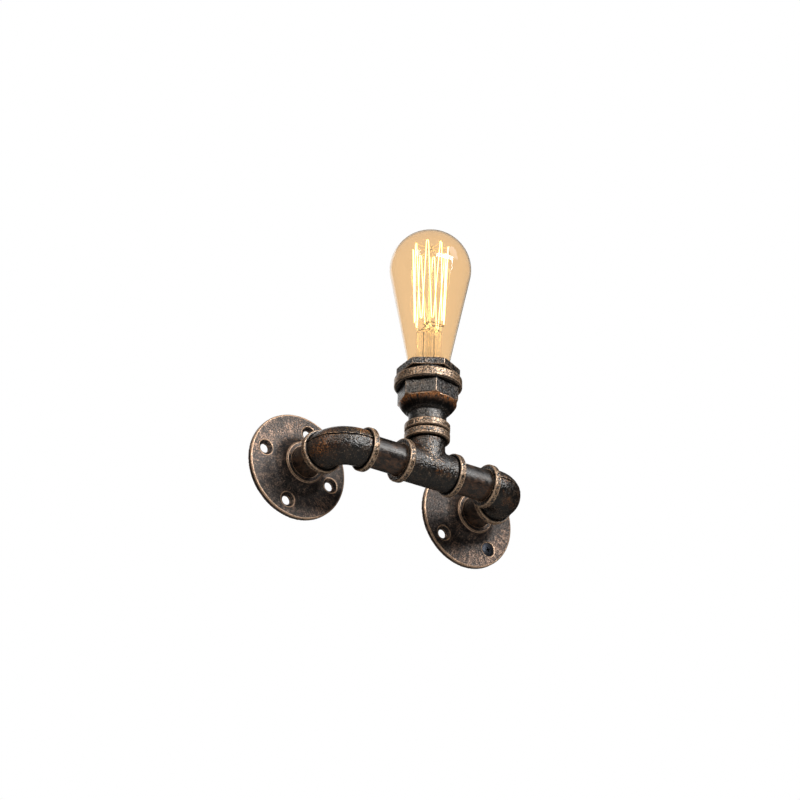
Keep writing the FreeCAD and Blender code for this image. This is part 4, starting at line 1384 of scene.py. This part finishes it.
def buildCamera(look):
    camera = newObject("camera", bpy.data.cameras.new("camera"))
    a, e, r = [math.radians(look[key]) for key in ("azimuth", "elevation", "roll")]
    back = Vector((math.sin(a) * math.cos(e), -math.cos(a) * math.cos(e), math.sin(e)))
    right = zAxis.cross(back).normalized()
    up = back.cross(right)
    tiltedRight = right * math.cos(r) + up * math.sin(r)
    tiltedUp = up * math.cos(r) - right * math.sin(r)
    camera.rotation_mode = "QUATERNION"
    camera.rotation_quaternion = Matrix((tiltedRight, tiltedUp, back)).transposed().to_quaternion()
    camera.location = Vector(look["target"]) + back * look["distance"]
    camera.data.lens = look["lens"]
    camera.data.sensor_width = 36.0
    camera.data.clip_end = 50.0
    bpy.context.scene.camera = camera


lamps = {  # place, size, power and colour
    "window": ((0.20, -1.50, 0.57), (1.30, 0.34), 24.0, (0.93, 0.97, 1.0)),
    "side": ((0.79, -1.10, 0.98), (0.55, 0.80), 4.6, (0.92, 0.95, 1.0)),
    "left": ((-1.25, -0.55, 0.75), (0.30, 0.60), 5.2, (1.0, 0.95, 0.89)),
    "rear": ((0.30, 1.10, 0.60), (0.90, 0.90), 3.0, (1.0, 1.0, 1.0)),
}


def buildLights():
    aim = Vector(viewFrom["target"])
    for name, (place, size, power, colour) in lamps.items():
        data = bpy.data.lights.new(name, "AREA")
        data.shape = "RECTANGLE"
        data.size, data.size_y = size
        data.energy = power
        data.color = colour
        light = newObject(name, data)
        light.location = place
        light.rotation_mode = "QUATERNION"
        light.rotation_quaternion = (aim - light.location).to_track_quat("-Z", "Y")
        light.visible_camera = light.visible_transmission = False


def raysOf(tree):
    # what the camera sees, straight or through glass, and what is seen as a reflection
    path = put(tree, "ShaderNodeLightPath").outputs
    return most(path["Is Camera Ray"], path["Is Transmission Ray"]), path["Is Glossy Ray"]


room = {"diffuse": 0.12, "dim": 0.02, "bright": 0.24, "towards": (-0.50, -0.35, 0.79)}


def buildWorld():
    # white where the camera looks; a dimmer room is what metal reflects
    world = bpy.data.worlds.new("studio")
    bpy.context.scene.world = world
    world.use_nodes = True
    tree = world.node_tree
    tree.nodes.clear()
    seen, glossy = raysOf(tree)
    heading = put(tree, "ShaderNodeTexCoord").outputs["Generated"]
    lean = vectorCalc("DOT_PRODUCT", heading, room["towards"], "Value")
    sheen = spread(lean, -0.2, 0.95, room["dim"], room["bright"])
    level = spread(glossy, 0.0, 1.0, room["diffuse"], sheen, False)
    level = spread(seen, 0.0, 1.0, level, 1.0, False)
    light = put(tree, "ShaderNodeBackground", {"Color": (1, 1, 1), "Strength": level})
    put(tree, "ShaderNodeOutputWorld", {"Surface": light.outputs[0]})


stageFloor = {"height": -1.0, "half": 6.0, "reflected": 0.35, "pale": 0.62}


def buildFloor(look):
    mesh = bpy.data.meshes.new("floor")
    h = look["half"]
    corners = [(x, y, look["height"]) for x, y in ((-h, -h), (h, -h), (h, h), (-h, h))]
    mesh.from_pydata(corners, [], [(0, 1, 2, 3)])
    material, place = startMaterial("paleFloor")
    seen, glossy = raysOf(material.node_tree)
    colour = mixColour(grainOf(place, 0.8, 3), (0.80, 0.80, 0.79), (0.84, 0.84, 0.83))
    # dimmer where metal reflects it
    colour = mixColour(times(glossy, 1 - look["reflected"]), colour, (0.10, 0.08, 0.06))
    finishMaterial(material, colour=colour, rough=0.8, glow=(1, 1, 0.99), glowPower=times(seen, look["pale"]))
    mesh.materials.append(material)
    newObject("floor", mesh)


buildCamera(viewFrom)
buildLights()
buildWorld()
buildFloor(stageFloor)
bpy.context.scene.view_settings.view_transform = "Standard"
print("camera, light and floor ready")
